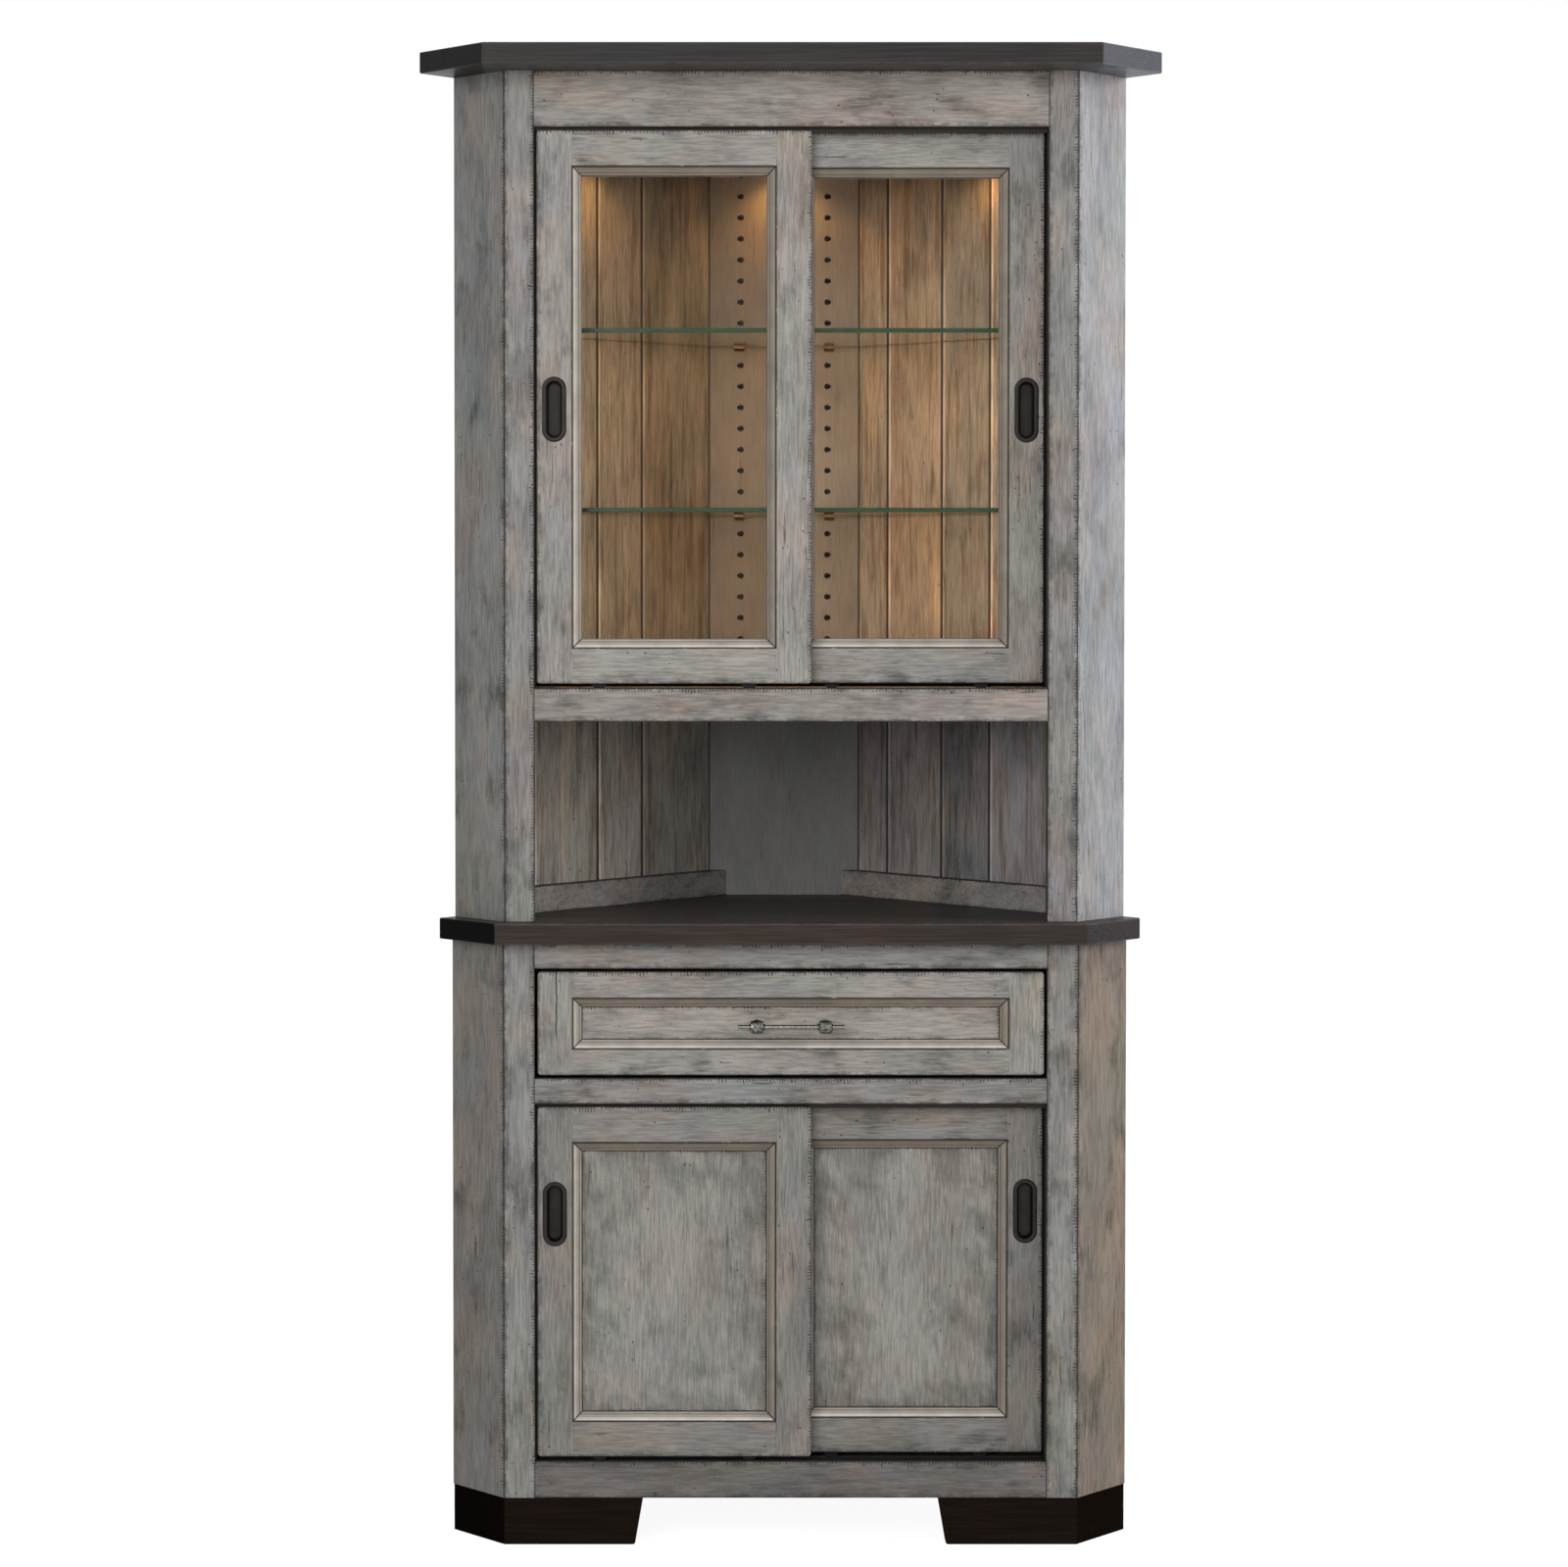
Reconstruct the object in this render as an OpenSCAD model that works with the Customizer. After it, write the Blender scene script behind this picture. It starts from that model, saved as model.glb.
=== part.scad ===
// Corner hutch: a glazed sliding-door cabinet over an open niche, standing on a base
// with one drawer and two sliding doors. It fills a square room corner, so its plan is
// a wide face, two short returns at 45 degrees, two walls and a cut-off rear corner.
// The origin is the middle of the footprint on the floor, and +Y points to the corner.

/* [Footprint] */
// Width of the flat face of the base between its two mitred corners
face_w = 810; // [780:5:850]
// How far each angled return runs back, and as far outwards
return_run = 77; // [70:1:85]
// Depth from the base face to the cut-off rear corner
depth = 433; // [425:1:445]
// Step back from the base face to the hutch face
hutch_step = 5; // [3:0.5:8]
// Overhang of the crown beyond the base face
crown_over = 58; // [45:1:70]
// Overhang of the counter beyond the base face
counter_over = 24; // [15:1:35]

/* [Heights] */
// Height of the feet
foot_h = 66.5; // [50:0.5:80]
// Bottom rail of the base
base_bottom_rail_h = 52; // [45:1:60]
// Opening for the lower sliding doors
lower_open_h = 507; // [470:1:540]
// Rail between the lower doors and the drawer
base_mid_rail_h = 36; // [33:1:45]
// Opening for the drawer
drawer_open_h = 155; // [145:1:170]
// Rail between the drawer and the counter
base_top_rail_h = 36; // [30:1:45]
// Thickness of the counter
counter_t = 30; // [24:1:36]
// Open niche above the counter
niche_h = 282; // [240:1:330]
// Rail under the glass doors
hutch_mid_rail_h = 47; // [42:1:56]
// Opening for the glass doors
upper_open_h = 787; // [740:1:840]
// Rail under the crown
hutch_top_rail_h = 79; // [60:1:90]
// Thickness of the crown
crown_t = 30; // [24:1:36]

/* [Boards] */
// Thickness of the face-frame and return boards
board_t = 20; // [18:0.5:22]
// Width of a face-frame stile seen from the front
stile_w = 44; // [38:0.5:48]
// Length and thickness of the tenons on the rails
tenon_l = 20; // [12:1:26]
tenon_t = 8; // [6:0.5:9]
// Shoulder above and below each tenon
tenon_shoulder = 6; // [4:0.5:9]
// Thickness of the planks on the two walls of the hutch and of its centre panel
plank_t = 19; // [17:0.5:21]
// Thickness of the back panels of the base
base_back_t = 12; // [9:0.5:15]
// Gap between the back boards and the room wall
back_recess = 7; // [4:0.5:10]
// Thickness of the floors, the ceiling and the drawer web board
deck_t = 18; // [16:0.5:20]
// Radius on the front edges of crown and counter
slab_ease = 2.5; // [1:0.5:5]

/* [Planks] */
// Plank joints on the left wall, measured from the rear corner
left_joints = [141, 232, 360]; // [40:1:440]
// Plank joints on the right wall, measured from the rear corner
right_joints = [57, 165, 258, 376]; // [40:1:440]
// Thickness and length of the tongues
tongue_t = 6; // [4:0.5:8]
tongue_l = 6; // [4:0.5:8]
// Width of the bevel on each plank edge
plank_bevel = 2.2; // [1:0.2:3.5]

/* [Shelves] */
// Pitch of the shelf-pin holes
pin_pitch = 32; // [25:1:36]
// Diameter and depth of a pin hole
pin_hole_d = 6; // [5:0.5:7]
pin_hole_l = 10; // [8:0.5:12]
// Number of holes in a column
pin_rows = 23; // [18:1:23]
// Place of the two hole columns as a share of the centre panel's half width
pin_column_share = 0.594; // [0.5:0.01:0.7]
// Distance of the front hole columns from the return boards
front_column_in = 60; // [45:1:90]
// Height of the lowest hole above the glass-door opening
first_hole_up = 62; // [50:1:66]
// Number of the hole row under the lower and under the upper glass shelf, from the lowest hole
lower_shelf_row = 6; // [1:1:10]
upper_shelf_row = 14; // [11:1:20]
// Thickness of the glass shelves
shelf_glass_t = 6.4; // [5:0.2:10]
// Distance from the hutch face to the front edge of the glass shelves
shelf_setback = 80; // [75:1:110]
// Gap beside a glass shelf and behind it
shelf_gap = 3; // [2:0.5:5]
shelf_rear_gap = 8; // [5:0.5:12]
// How far the glass lies below the middle of the pin hole
shelf_seat = 5; // [4:0.5:7]
// Reach, width and thickness of the bracket on a shelf pin
bracket_reach = 13; // [11:0.5:16]
bracket_w = 14.5; // [12:0.5:16]
bracket_t = 2; // [1.5:0.1:2.5]
// Height of the curved foot of the bracket, and its lip above the pin hole
bracket_drop = 7; // [5:0.5:9]
bracket_lip = 0.5; // [0.3:0.1:1.5]
// Height of the wooden shelf above the opening of the base
base_shelf_up = 240; // [200:5:280]
// Distance from the base face to the front edge of the wooden shelf
base_shelf_setback = 75; // [65:1:110]
// Section of the cleats under the wooden shelf
cleat_t = 19; // [15:0.5:22]
cleat_h = 28; // [20:1:36]

/* [Niche rails] */
// Height and thickness of the base rails along the niche walls
niche_rail_h = 38; // [28:1:50]
niche_rail_t = 19.5; // [15:0.5:24]
// Radius on the top edge of the base rails
niche_rail_ease = 3; // [1:0.5:6]

/* [Sliding doors] */
// Thickness of a door
door_t = 20; // [19:0.5:21]
// Gap between the front and the rear door
door_gap = 3; // [2.5:0.1:3.5]
// Step back from the hutch or base face to the front door
door_set_in = 1; // [0.5:0.1:2]
// How far the two doors overlap at the middle
door_overlap = 59; // [50:1:66]
// Gap beside the front door and beside the rear door
front_door_side_gap = 3; // [2.5:0.5:6]
rear_door_side_gap = 3; // [2.5:0.5:6]
// Gap under every door
door_lift = 6; // [5.5:0.1:6.5]
// Gap above the glass doors and above the panel doors
upper_door_top_gap = 4; // [3:0.5:8]
lower_door_top_gap = 4; // [3:0.5:8]
// Flat width of the door stiles and rails, without the moulding
door_flat = 50.5; // [46:0.5:56]
// Corner radius of a door and radius on its front edges
door_corner_r = 8; // [3:0.5:9]
front_ease = 2.5; // [1:0.5:4]

/* [Moulding] */
// Width and depth of the ogee on the inner edges of doors and drawer front
stick_w = 13; // [10:0.5:16]
stick_d = 6; // [4:0.5:7]
// Step at the outer edge of the ogee
quirk_d = 1; // [0.5:0.1:1.5]
// Width of the bead at the inner edge, the step down to it and the bevel on its edge
bead_w = 3; // [2:0.5:4]
bead_step = 0.6; // [0.3:0.1:1]
bead_bevel = 0.6; // [0.3:0.1:1]
// Wood left between the bead and the groove
bead_back = 1; // [0.5:0.1:2]
// Depth of the groove that holds glass or panel
groove_d = 7; // [5:0.5:9]
// Thickness of the door glass
door_glass_t = 4; // [3:0.5:5]
// Thickness of the flat wooden panels
panel_t = 7; // [5:0.5:8]

/* [Rollers and guides] */
// Rolling radius of a wheel and the height of its flanges
roll_r = 10; // [9:0.5:10.5]
flange_h = 2; // [1.5:0.1:2.3]
// Width of a wheel
wheel_w = 7; // [6:0.5:8]
// Bevel on the wheel rims and draft of the groove
wheel_bevel = 0.5; // [0.3:0.1:0.8]
groove_draft = 0.4; // [0.2:0.1:0.8]
// Radius of the wheel axle
axle_r = 1.5; // [1.3:0.1:2]
// Distance of each wheel from the nearer door edge
wheel_inset = 88; // [75:1:110]
// Lip left on a rail in front of the rebate for track or guide
rail_lip = 4; // [3:0.5:5.5]
// Thickness and height of a track rib
rib_t = 2.4; // [2:0.1:3]
rib_h = 4.5; // [4:0.5:5]
// Thickness of the track plate
track_t = 1.5; // [1:0.1:2]
// How far track and guide run on behind the middle of the rear door
band_rear = 9; // [6:0.5:10]
// Wall of the roller housings
housing_wall = 1.5; // [1:0.1:1.7]
// Height of the roller housings
housing_h = 21; // [20:0.5:24]
// Thickness of the top guide strip and thickness of its fins
guide_t = 5; // [4:0.5:8]
fin_t = 3; // [2.5:0.1:3.5]
// Depth of the guide groove in the top of a door, and how far the fin stands in it
guide_groove_d = 10; // [9:0.5:13]
fin_reach = 3; // [2.5:0.5:5]

/* [Finger pulls] */
// Width of the slot, width of the rim and full height of a flush pull
slot_w = 20; // [16:0.5:23]
pull_rim = 7; // [5:0.5:8]
pull_h = 91.5; // [80:0.5:105]
// Depth of the slot and thickness of its shell
slot_depth = 8; // [6:0.5:10]
pull_shell = 1.2; // [1:0.1:1.5]
// How far the rim stands above the door
rim_proud = 1.2; // [0.8:0.1:1.6]
// Height of the rim at its thin edges
rim_edge = 0.3; // [0.2:0.1:0.6]
// Distance from the door top to the middle of the pull, glass doors and panel doors
upper_pull_drop = 391; // [300:1:480]
lower_pull_drop = 152; // [120:1:240]

/* [Drawer] */
// Flat widths of the drawer-front members: stiles, top and bottom rail
drawer_stile_flat = 50; // [44:0.5:56]
drawer_top_flat = 37.5; // [33:0.5:40]
drawer_bottom_flat = 37.5; // [33:0.5:40]
// Gaps round the drawer front
drawer_side_gap = 3.5; // [3:0.5:6]
drawer_end_gap = 4; // [3:0.5:6]
// Outer width and height of the drawer box
drawer_box_w = 460; // [430:2:480]
drawer_box_h = 108; // [95:1:112]
// Height of the drawer box above the drawer opening
drawer_box_up = 22; // [18:1:26]
// Thickness of the drawer sides and of the drawer bottom
drawer_side_t = 12; // [11:0.5:14]
drawer_bottom_t = 6; // [5:0.5:7]
// Height of the drawer bottom in the box, and the depth of its groove
drawer_bottom_up = 9; // [7:0.5:12]
drawer_groove_d = 6; // [4:0.5:7]
// Space behind the drawer box
drawer_back_gap = 28; // [20:1:45]
// Dovetails at each corner, and the widths of a tail at its end and its root
tails = 4; // [3:1:5]
tail_end_w = 18; // [14:1:19]
tail_root_w = 13; // [9:1:14]
// Space between drawer side and hanger board, which the slides fill
slide_space = 12.7; // [12.5:0.1:14]
// Height and depth of the slide channel, its lips and the thickness of its steel
slide_h = 36; // [30:1:42]
channel_d = 9.5; // [8:0.5:10]
channel_lip = 4; // [3:0.5:5]
slide_steel = 1.4; // [1.2:0.1:1.6]
// Distance of the channel from the face frame, of its end and of the bar from the box ends
channel_front_in = 2; // [1:0.5:4]
slide_rear_in = 4; // [3:0.5:8]
slide_front_in = 3; // [2:0.5:6]
// Depth of the web board that ties the hangers to the face frame
web_depth = 60; // [45:1:90]
// Thickness of the hanger boards
hanger_t = 19; // [16:0.5:22]
// Depth of the notch that keeps the hanger boards clear of the drawer front
hanger_notch = 2.5; // [1:0.5:4]

/* [Drawer pull] */
// Length and diameter of the bar
bar_l = 150; // [130:1:180]
bar_d = 6.2; // [5:0.1:7]
// Distance between the two posts
post_pitch = 96; // [76:1:110]
// Width and diameter of the barrel round the bar at each post
barrel_w = 17.5; // [14:0.5:20]
barrel_d = 18.6; // [16:0.2:21]
// Share by which the barrel is thinner at its ends
barrel_taper = 0.12; // [0.06:0.02:0.3]
// Width and diameter of the thin collar at each end of a barrel
collar_w = 2; // [1:0.5:3]
collar_d = 9.5; // [8:0.5:12]
// Distance from the drawer panel to the middle of the bar
bar_out = 30; // [25:0.5:34]
// Diameter of a post
post_d = 9; // [7:0.5:11]
// Diameter and thickness of the round foot of a post
rose_d = 14; // [12:0.5:17]
rose_h = 2.5; // [1.5:0.1:3.5]
// Diameter of the two screws, diameter and height of their heads
screw_d = 4; // [3.5:0.1:4.5]
screw_head_d = 8; // [7:0.5:9]
screw_head_h = 2.5; // [2:0.1:3]
// Depth of the screw bore in a post
screw_bore_l = 9; // [7:0.5:12]
// Height of the bar above the middle of the drawer front
bar_up = -2; // [-6:0.5:6]

/* [Feet] */
// Step in from the base faces to the feet
foot_inset = 1.8; // [1:0.1:4]
// Where a front foot ends, from the centre line, at its top and at the floor
foot_end_top = 208.5; // [190:0.5:240]
foot_slant = 11.5; // [5:0.5:20]
// Radius of the lower corner of that end
foot_corner_r = 4; // [2:0.5:8]
// Length of the rear foot along each wall
rear_foot_wing = 120; // [90:1:160]
// Leg of the glue blocks inside the feet, and their height off the floor
block_leg = 55; // [40:1:70]
block_up = 4; // [2:0.5:8]

/* [Lights] */
// Diameter of a recessed light and of its rim
light_d = 58; // [50:1:66]
light_rim_w = 5; // [4:0.5:7]
// Depth of the light housing and thickness of its lens
light_h = 14; // [11:0.5:17]
lens_t = 3; // [2:0.5:4]
// Wall of the light housing
light_wall = 2; // [1:0.1:3]
// Distance of the two front lights from the centre line and from the hutch face
light_x = 270; // [250:1:280]
light_in = 172; // [160:1:185]
// Distance of the rear light from the hutch face
rear_light_in = 358; // [345:1:365]

/* [Hidden] */
$fn = 48;

// Colours
grey_wash = [0.58, 0.57, 0.54];
tan_wood = [0.60, 0.49, 0.35];
dark_top = [0.22, 0.19, 0.18];
foot_brown = [0.13, 0.10, 0.09];
bronze = [0.20, 0.17, 0.15];
pewter = [0.48, 0.47, 0.44];
copper = [0.62, 0.42, 0.26];
steel = [0.70, 0.71, 0.72];
nylon = [0.25, 0.25, 0.26];
lens_white = [1, 0.95, 0.8];
clear_glass = [0.70, 0.85, 0.80, 0.35];
plain_maple = [0.76, 0.66, 0.50];

// Clearances of wood in wood, of metal in wood, and of one board beside another
wood_fit = 0.2;
metal_fit = 0.2;
joint_gap = 0.1;
plank_gap = 0.15;
bottom_fit = 0.15;
infill_edge_gap = 0.8;
// Clearances of a wheel on its rib, beside the rib, beside and before its housing, on its axle
roll_gap = 0.3;
rib_side_gap = 0.5;
wheel_side_gap = 0.5;
wheel_end_gap = 1.5;
axle_fit = 0.05;
// Clearances of a fin in its groove, and of track and guide in their rebate
fin_side_gap = 0.6;
band_gap = 0.5;
band_end_gap = 1;
strip_gap = 0.5;
// Clearances of slide, screw and shelf pin
slide_fit = 0.3;
screw_gap = 0.5;
screw_end_gap = 1;
pin_fit = 0.1;
pin_end_gap = 1;

// Heights of the levels
z_base = foot_h;
z_lower_open = z_base + base_bottom_rail_h;
z_base_mid_rail = z_lower_open + lower_open_h;
z_drawer_open = z_base_mid_rail + base_mid_rail_h;
z_base_top_rail = z_drawer_open + drawer_open_h;
z_counter = z_base_top_rail + base_top_rail_h;
z_niche = z_counter + counter_t;
z_hutch_mid_rail = z_niche + niche_h;
z_upper_open = z_hutch_mid_rail + hutch_mid_rail_h;
z_hutch_top_rail = z_upper_open + upper_open_h;
z_crown = z_hutch_top_rail + hutch_top_rail_h;
track_rebate = rib_h + track_t;
z_base_floor = z_lower_open - track_rebate - deck_t;
z_hutch_floor = z_upper_open - track_rebate - deck_t;
z_ceiling = z_hutch_top_rail + guide_t;
z_web = z_base_mid_rail + guide_t;

// The plan
half_face = face_w / 2;
wall_sum = half_face + 2 * return_run;
mitre = tan(22.5);
root2 = sqrt(2);
open_w = face_w - 2 * stile_w;
mid_y = (depth - crown_over) / 2;
hutch_back_in = back_recess + plank_t;
base_back_in = back_recess + base_back_t;
long = 3 * face_w;

// Corners of the right half plan, stepped in by f from the faces and by w from the walls
function face_corner(f) = [half_face - f * mitre, f];
function shoulder(f, w) = [(half_face + wall_sum) / 2 - (f + w) / root2,
                           return_run + (f - w) / root2];
function rear_corner(w) = [wall_sum - depth - w * (root2 - 1), depth - w];
function mirrored(p) = [-p[0], p[1]];
function plan(f, w) = [
    face_corner(f), shoulder(f, w), rear_corner(w),
    mirrored(rear_corner(w)), mirrored(shoulder(f, w)), mirrored(face_corner(f))
];
// Length of the wall line at step w, and where it meets the centre panel
wall_l = norm(rear_corner(0) - shoulder(0, 0));
function wall_end(b) = wall_l - b * mitre;

// Doors
door_w = (open_w + door_overlap - front_door_side_gap - rear_door_side_gap) / 2;
upper_door_h = upper_open_h - door_lift - upper_door_top_gap;
lower_door_h = lower_open_h - door_lift - lower_door_top_gap;
front_door_y = door_set_in;
rear_door_y = door_set_in + door_t + door_gap;
left_door_x = -open_w / 2 + front_door_side_gap;
right_door_x = open_w / 2 - rear_door_side_gap - door_w;
infill_v = quirk_d + stick_d + bead_back;
housing_l = 2 * (roll_r + flange_h + wheel_end_gap + housing_wall);
housing_w = wheel_w + 2 * (wheel_side_gap + housing_wall);
axle_up = roll_gap + roll_r - door_lift;
guide_slot = fin_t + 2 * fin_side_gap;
pull_straight = pull_h - slot_w - 2 * pull_rim;
rim_r = slot_w / 2 + pull_rim;
shell_r = slot_w / 2 + pull_shell;

// Drawer
drawer_front_w = open_w - 2 * drawer_side_gap;
drawer_front_h = drawer_open_h - 2 * drawer_end_gap;
drawer_front_y = door_set_in;
box_y0 = drawer_front_y + door_t;
box_x = drawer_box_w / 2;
hanger_x = box_x + slide_space;
wall_in_base = wall_sum - base_back_in * root2;
box_y1 = wall_in_base - box_x - drawer_back_gap;
box_z = z_drawer_open + drawer_box_up;
slide_z = box_z + drawer_box_h / 2;
slide_y0 = board_t + channel_front_in;
slide_y1 = box_y1 - slide_rear_in;

// Shelves and lights
light_bore_d = light_d - 2 * light_wall;
function hole_z(row) = z_upper_open + first_hole_up + row * pin_pitch;
shelf_rows = [lower_shelf_row, upper_shelf_row];
pin_column_x = pin_column_share * rear_corner(hutch_back_in)[0];
front_column_a = hutch_step + board_t + front_column_in;

// Puts a piece drawn from the base face onto the shared origin
module stand() translate([0, -mid_y, 0]) children();

// Draws the children and their mirror image
module both_sides() {
    children();
    mirror([1, 0, 0]) children();
}

// Extrudes an outline of the front view back through a thickness
module upright(t) translate([0, t, 0]) rotate([90, 0, 0]) linear_extrude(t) children();

// Frame of the right wall: x runs along the wall to the rear, y into the room
module on_wall() {
    corner = shoulder(0, 0);
    translate([corner[0], corner[1], 0]) rotate([0, 0, 135]) children();
}

// Slab over the whole plan, with its front edges eased
module slab(over, z, t, ease) {
    translate([0, 0, z]) intersection() {
        linear_extrude(t) polygon(plan(-over, 0));
        eased_edge(over, t, ease);
        turned_edge(over, t, ease);
        mirror([1, 0, 0]) turned_edge(over, t, ease);
    }
}

// Half space behind one front edge, its two arrises rounded
module eased_edge(over, t, ease) {
    translate([-long / 2, -over, 0]) rotate([90, 0, 90]) linear_extrude(long) {
        translate([ease, 0]) square([long, t]);
        translate([0, ease]) square([long, t - 2 * ease]);
        for (z = [ease, t - ease]) translate([ease, z]) circle(ease);
    }
}

module turned_edge(over, t, ease) {
    corner = face_corner(0);
    translate([corner[0], corner[1], 0]) rotate([0, 0, 45]) eased_edge(over, t, ease);
}

// Return board on the right, between two heights
module return_board(f, t, z0, z1) {
    translate([0, 0, z0]) linear_extrude(z1 - z0) polygon([
        face_corner(f), shoulder(f, 0), shoulder(f + t, 0), face_corner(f + t)
    ]);
}

// Face-frame stile on the right, with a mortise for each rail that meets it
module stile(f, z0, z1, rails) {
    difference() {
        translate([0, 0, z0]) linear_extrude(z1 - z0) polygon([
            [open_w / 2, f], face_corner(f), face_corner(f + board_t), [open_w / 2, f + board_t]
        ]);
        for (r = rails) tenon(f, r[0], r[1], wood_fit);
    }
}

// Right tenon of a rail
module tenon(f, z0, z1, fit) {
    tenon_y = f + (board_t - tenon_t) / 2;
    translate([open_w / 2 - 1, tenon_y - fit, z0 + tenon_shoulder - fit])
        cube([tenon_l + 1 + fit, tenon_t + 2 * fit, z1 - z0 - 2 * (tenon_shoulder - fit)]);
}

// Face-frame rail with its two tenons and a rebate for a track above or a guide below
module rail(f, z0, z1, above, below) {
    difference() {
        translate([-open_w / 2, f, z0]) cube([open_w, board_t, z1 - z0]);
        translate([-open_w / 2 - 1, f + rail_lip, z1 - above]) cube([open_w + 2, board_t, above + 1]);
        translate([-open_w / 2 - 1, f + rail_lip, z0 - 1]) cube([open_w + 2, board_t, below + 1]);
    }
    both_sides() tenon(f, z0, z1, 0);
}

// Rails of base and hutch as pairs of heights
base_rail_z = [
    [z_base, z_lower_open], [z_base_mid_rail, z_drawer_open], [z_base_top_rail, z_counter]
];
hutch_rail_z = [[z_hutch_mid_rail, z_upper_open], [z_hutch_top_rail, z_crown]];

module crown_top() color(dark_top) stand() slab(crown_over, z_crown, crown_t, slab_ease);

module counter_top() color(dark_top) stand() slab(counter_over, z_counter, counter_t, slab_ease);

module hutch_side(left) color(grey_wash) stand() mirror([left ? 1 : 0, 0, 0])
    return_board(hutch_step, board_t, z_niche, z_crown);

module base_side(left) color(grey_wash) stand() mirror([left ? 1 : 0, 0, 0])
    return_board(0, board_t, z_base, z_counter);

module hutch_stiles() color(grey_wash) stand() both_sides()
    stile(hutch_step, z_niche, z_crown, hutch_rail_z);

module base_stiles() color(grey_wash) stand() both_sides()
    stile(0, z_base, z_counter, base_rail_z);

module hutch_rails() color(grey_wash) stand() {
    rail(hutch_step, z_hutch_mid_rail, z_upper_open, track_rebate, 0);
    rail(hutch_step, z_hutch_top_rail, z_crown, 0, guide_t);
}

module base_rails() color(grey_wash) stand() {
    rail(0, z_base, z_lower_open, track_rebate, 0);
    rail(0, z_base_mid_rail, z_drawer_open, 0, guide_t);
    rail(0, z_base_top_rail, z_counter, 0, 0);
}

// One plank from a0 to a1 along the wall, grooved at a0 and tongued at a1
module plank(a0, a1, grooved, tongued) {
    b0 = back_recess;
    b1 = hutch_back_in;
    mid = (b0 + b1) / 2;
    end = a1 - (tongued ? plank_gap : 0);
    difference() {
        union() {
            polygon([
                [a0, b0], [end, b0], [end, b1 - plank_bevel], [end - plank_bevel, b1],
                [a0 + plank_bevel, b1], [a0, b1 - plank_bevel]
            ]);
            if (tongued) translate([end - 1, mid - tongue_t / 2]) square([tongue_l + 1, tongue_t]);
        }
        if (grooved) translate([a0 - 1, mid - tongue_t / 2 - wood_fit])
            square([tongue_l + 1 + 2 * wood_fit, tongue_t + 2 * wood_fit]);
    }
}

// Planked right wall of the hutch from the return board to the centre panel
module planked_wall(joints) {
    count = len(joints);
    inner_end = wall_end(hutch_back_in);
    start = hutch_step + board_t;
    edges = concat([start], [for (i = [count - 1:-1:0]) inner_end - joints[i]], [wall_l]);
    difference() {
        translate([0, 0, z_niche]) linear_extrude(z_crown - z_niche) intersection() {
            union() for (i = [0:count])
                plank(edges[i], edges[i + 1], i > 0, i < count);
            polygon([
                [start, back_recess], [wall_end(back_recess), back_recess],
                [inner_end, hutch_back_in], [start, hutch_back_in]
            ]);
        }
        for (row = [0:pin_rows - 1]) translate([front_column_a, hutch_back_in, hole_z(row)])
            pin_hole();
    }
}

// Pin hole, drilled from the inner face along -Y of its own frame
module pin_hole() translate([0, 1, 0]) rotate([90, 0, 0])
    cylinder(d = pin_hole_d, h = pin_hole_l + 1, $fn = 24);

module hutch_planks(left) color(tan_wood) stand() mirror([left ? 1 : 0, 0, 0])
    on_wall() planked_wall(left ? left_joints : right_joints);

module hutch_center_panel() color(tan_wood) stand() difference() {
    translate([0, 0, z_niche]) linear_extrude(z_crown - z_niche) polygon([
        mirrored(rear_corner(hutch_back_in)), rear_corner(hutch_back_in),
        rear_corner(back_recess), mirrored(rear_corner(back_recess))
    ]);
    both_sides() for (row = [0:pin_rows - 1])
        translate([pin_column_x, depth - hutch_back_in, hole_z(row)])
            rotate([0, 0, 180]) pin_hole();
}

// Board that fills the plan behind the face frame
module deck(f, back_in, z) translate([0, 0, z]) linear_extrude(deck_t)
    polygon(plan(f + board_t, back_in));

module hutch_floor() color(tan_wood) stand() deck(hutch_step, hutch_back_in, z_hutch_floor);

module base_floor() color(grey_wash) stand() deck(0, base_back_in, z_base_floor);

// Places of the two front lights and of the rear light, at the underside of the ceiling
module at_lights() translate([0, hutch_step, z_ceiling]) {
    both_sides() translate([light_x, light_in, 0]) children();
    translate([0, rear_light_in, 0]) children();
}

module hutch_ceiling() color(tan_wood) stand() difference() {
    deck(hutch_step, hutch_back_in, z_ceiling);
    at_lights() translate([0, 0, -1]) cylinder(d = light_d + 2 * metal_fit, h = deck_t + 2);
}

module light_housings() color(steel) stand() at_lights() difference() {
    union() {
        cylinder(d = light_d, h = light_h);
        translate([0, 0, -lens_t]) cylinder(d = light_d + 2 * light_rim_w, h = lens_t);
    }
    translate([0, 0, -lens_t - 1]) cylinder(d = light_bore_d, h = light_h + lens_t - light_wall + 1);
}

module light_lenses() color(lens_white) stand() at_lights()
    translate([0, 0, -lens_t]) cylinder(d = light_bore_d - 2 * metal_fit, h = lens_t);

// Base rail along the right niche wall, its rear end cut to the centre panel
module niche_rail() {
    b0 = hutch_back_in;
    b1 = hutch_back_in + niche_rail_t;
    start = hutch_step + board_t;
    rear = wall_end(b0);
    ease = niche_rail_ease;
    translate([0, 0, z_niche]) intersection() {
        linear_extrude(niche_rail_h)
            polygon([[start, b0], [rear, b0], [rear + niche_rail_t, b1], [start, b1]]);
        rotate([90, 0, 90]) linear_extrude(wall_l + niche_rail_t) {
            translate([b0, 0]) square([niche_rail_t - ease, niche_rail_h]);
            translate([b0, 0]) square([niche_rail_t, niche_rail_h - ease]);
            translate([b1 - ease, niche_rail_h - ease]) circle(ease);
        }
    }
}

module niche_rails() color(grey_wash) stand() both_sides() on_wall() niche_rail();

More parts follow.
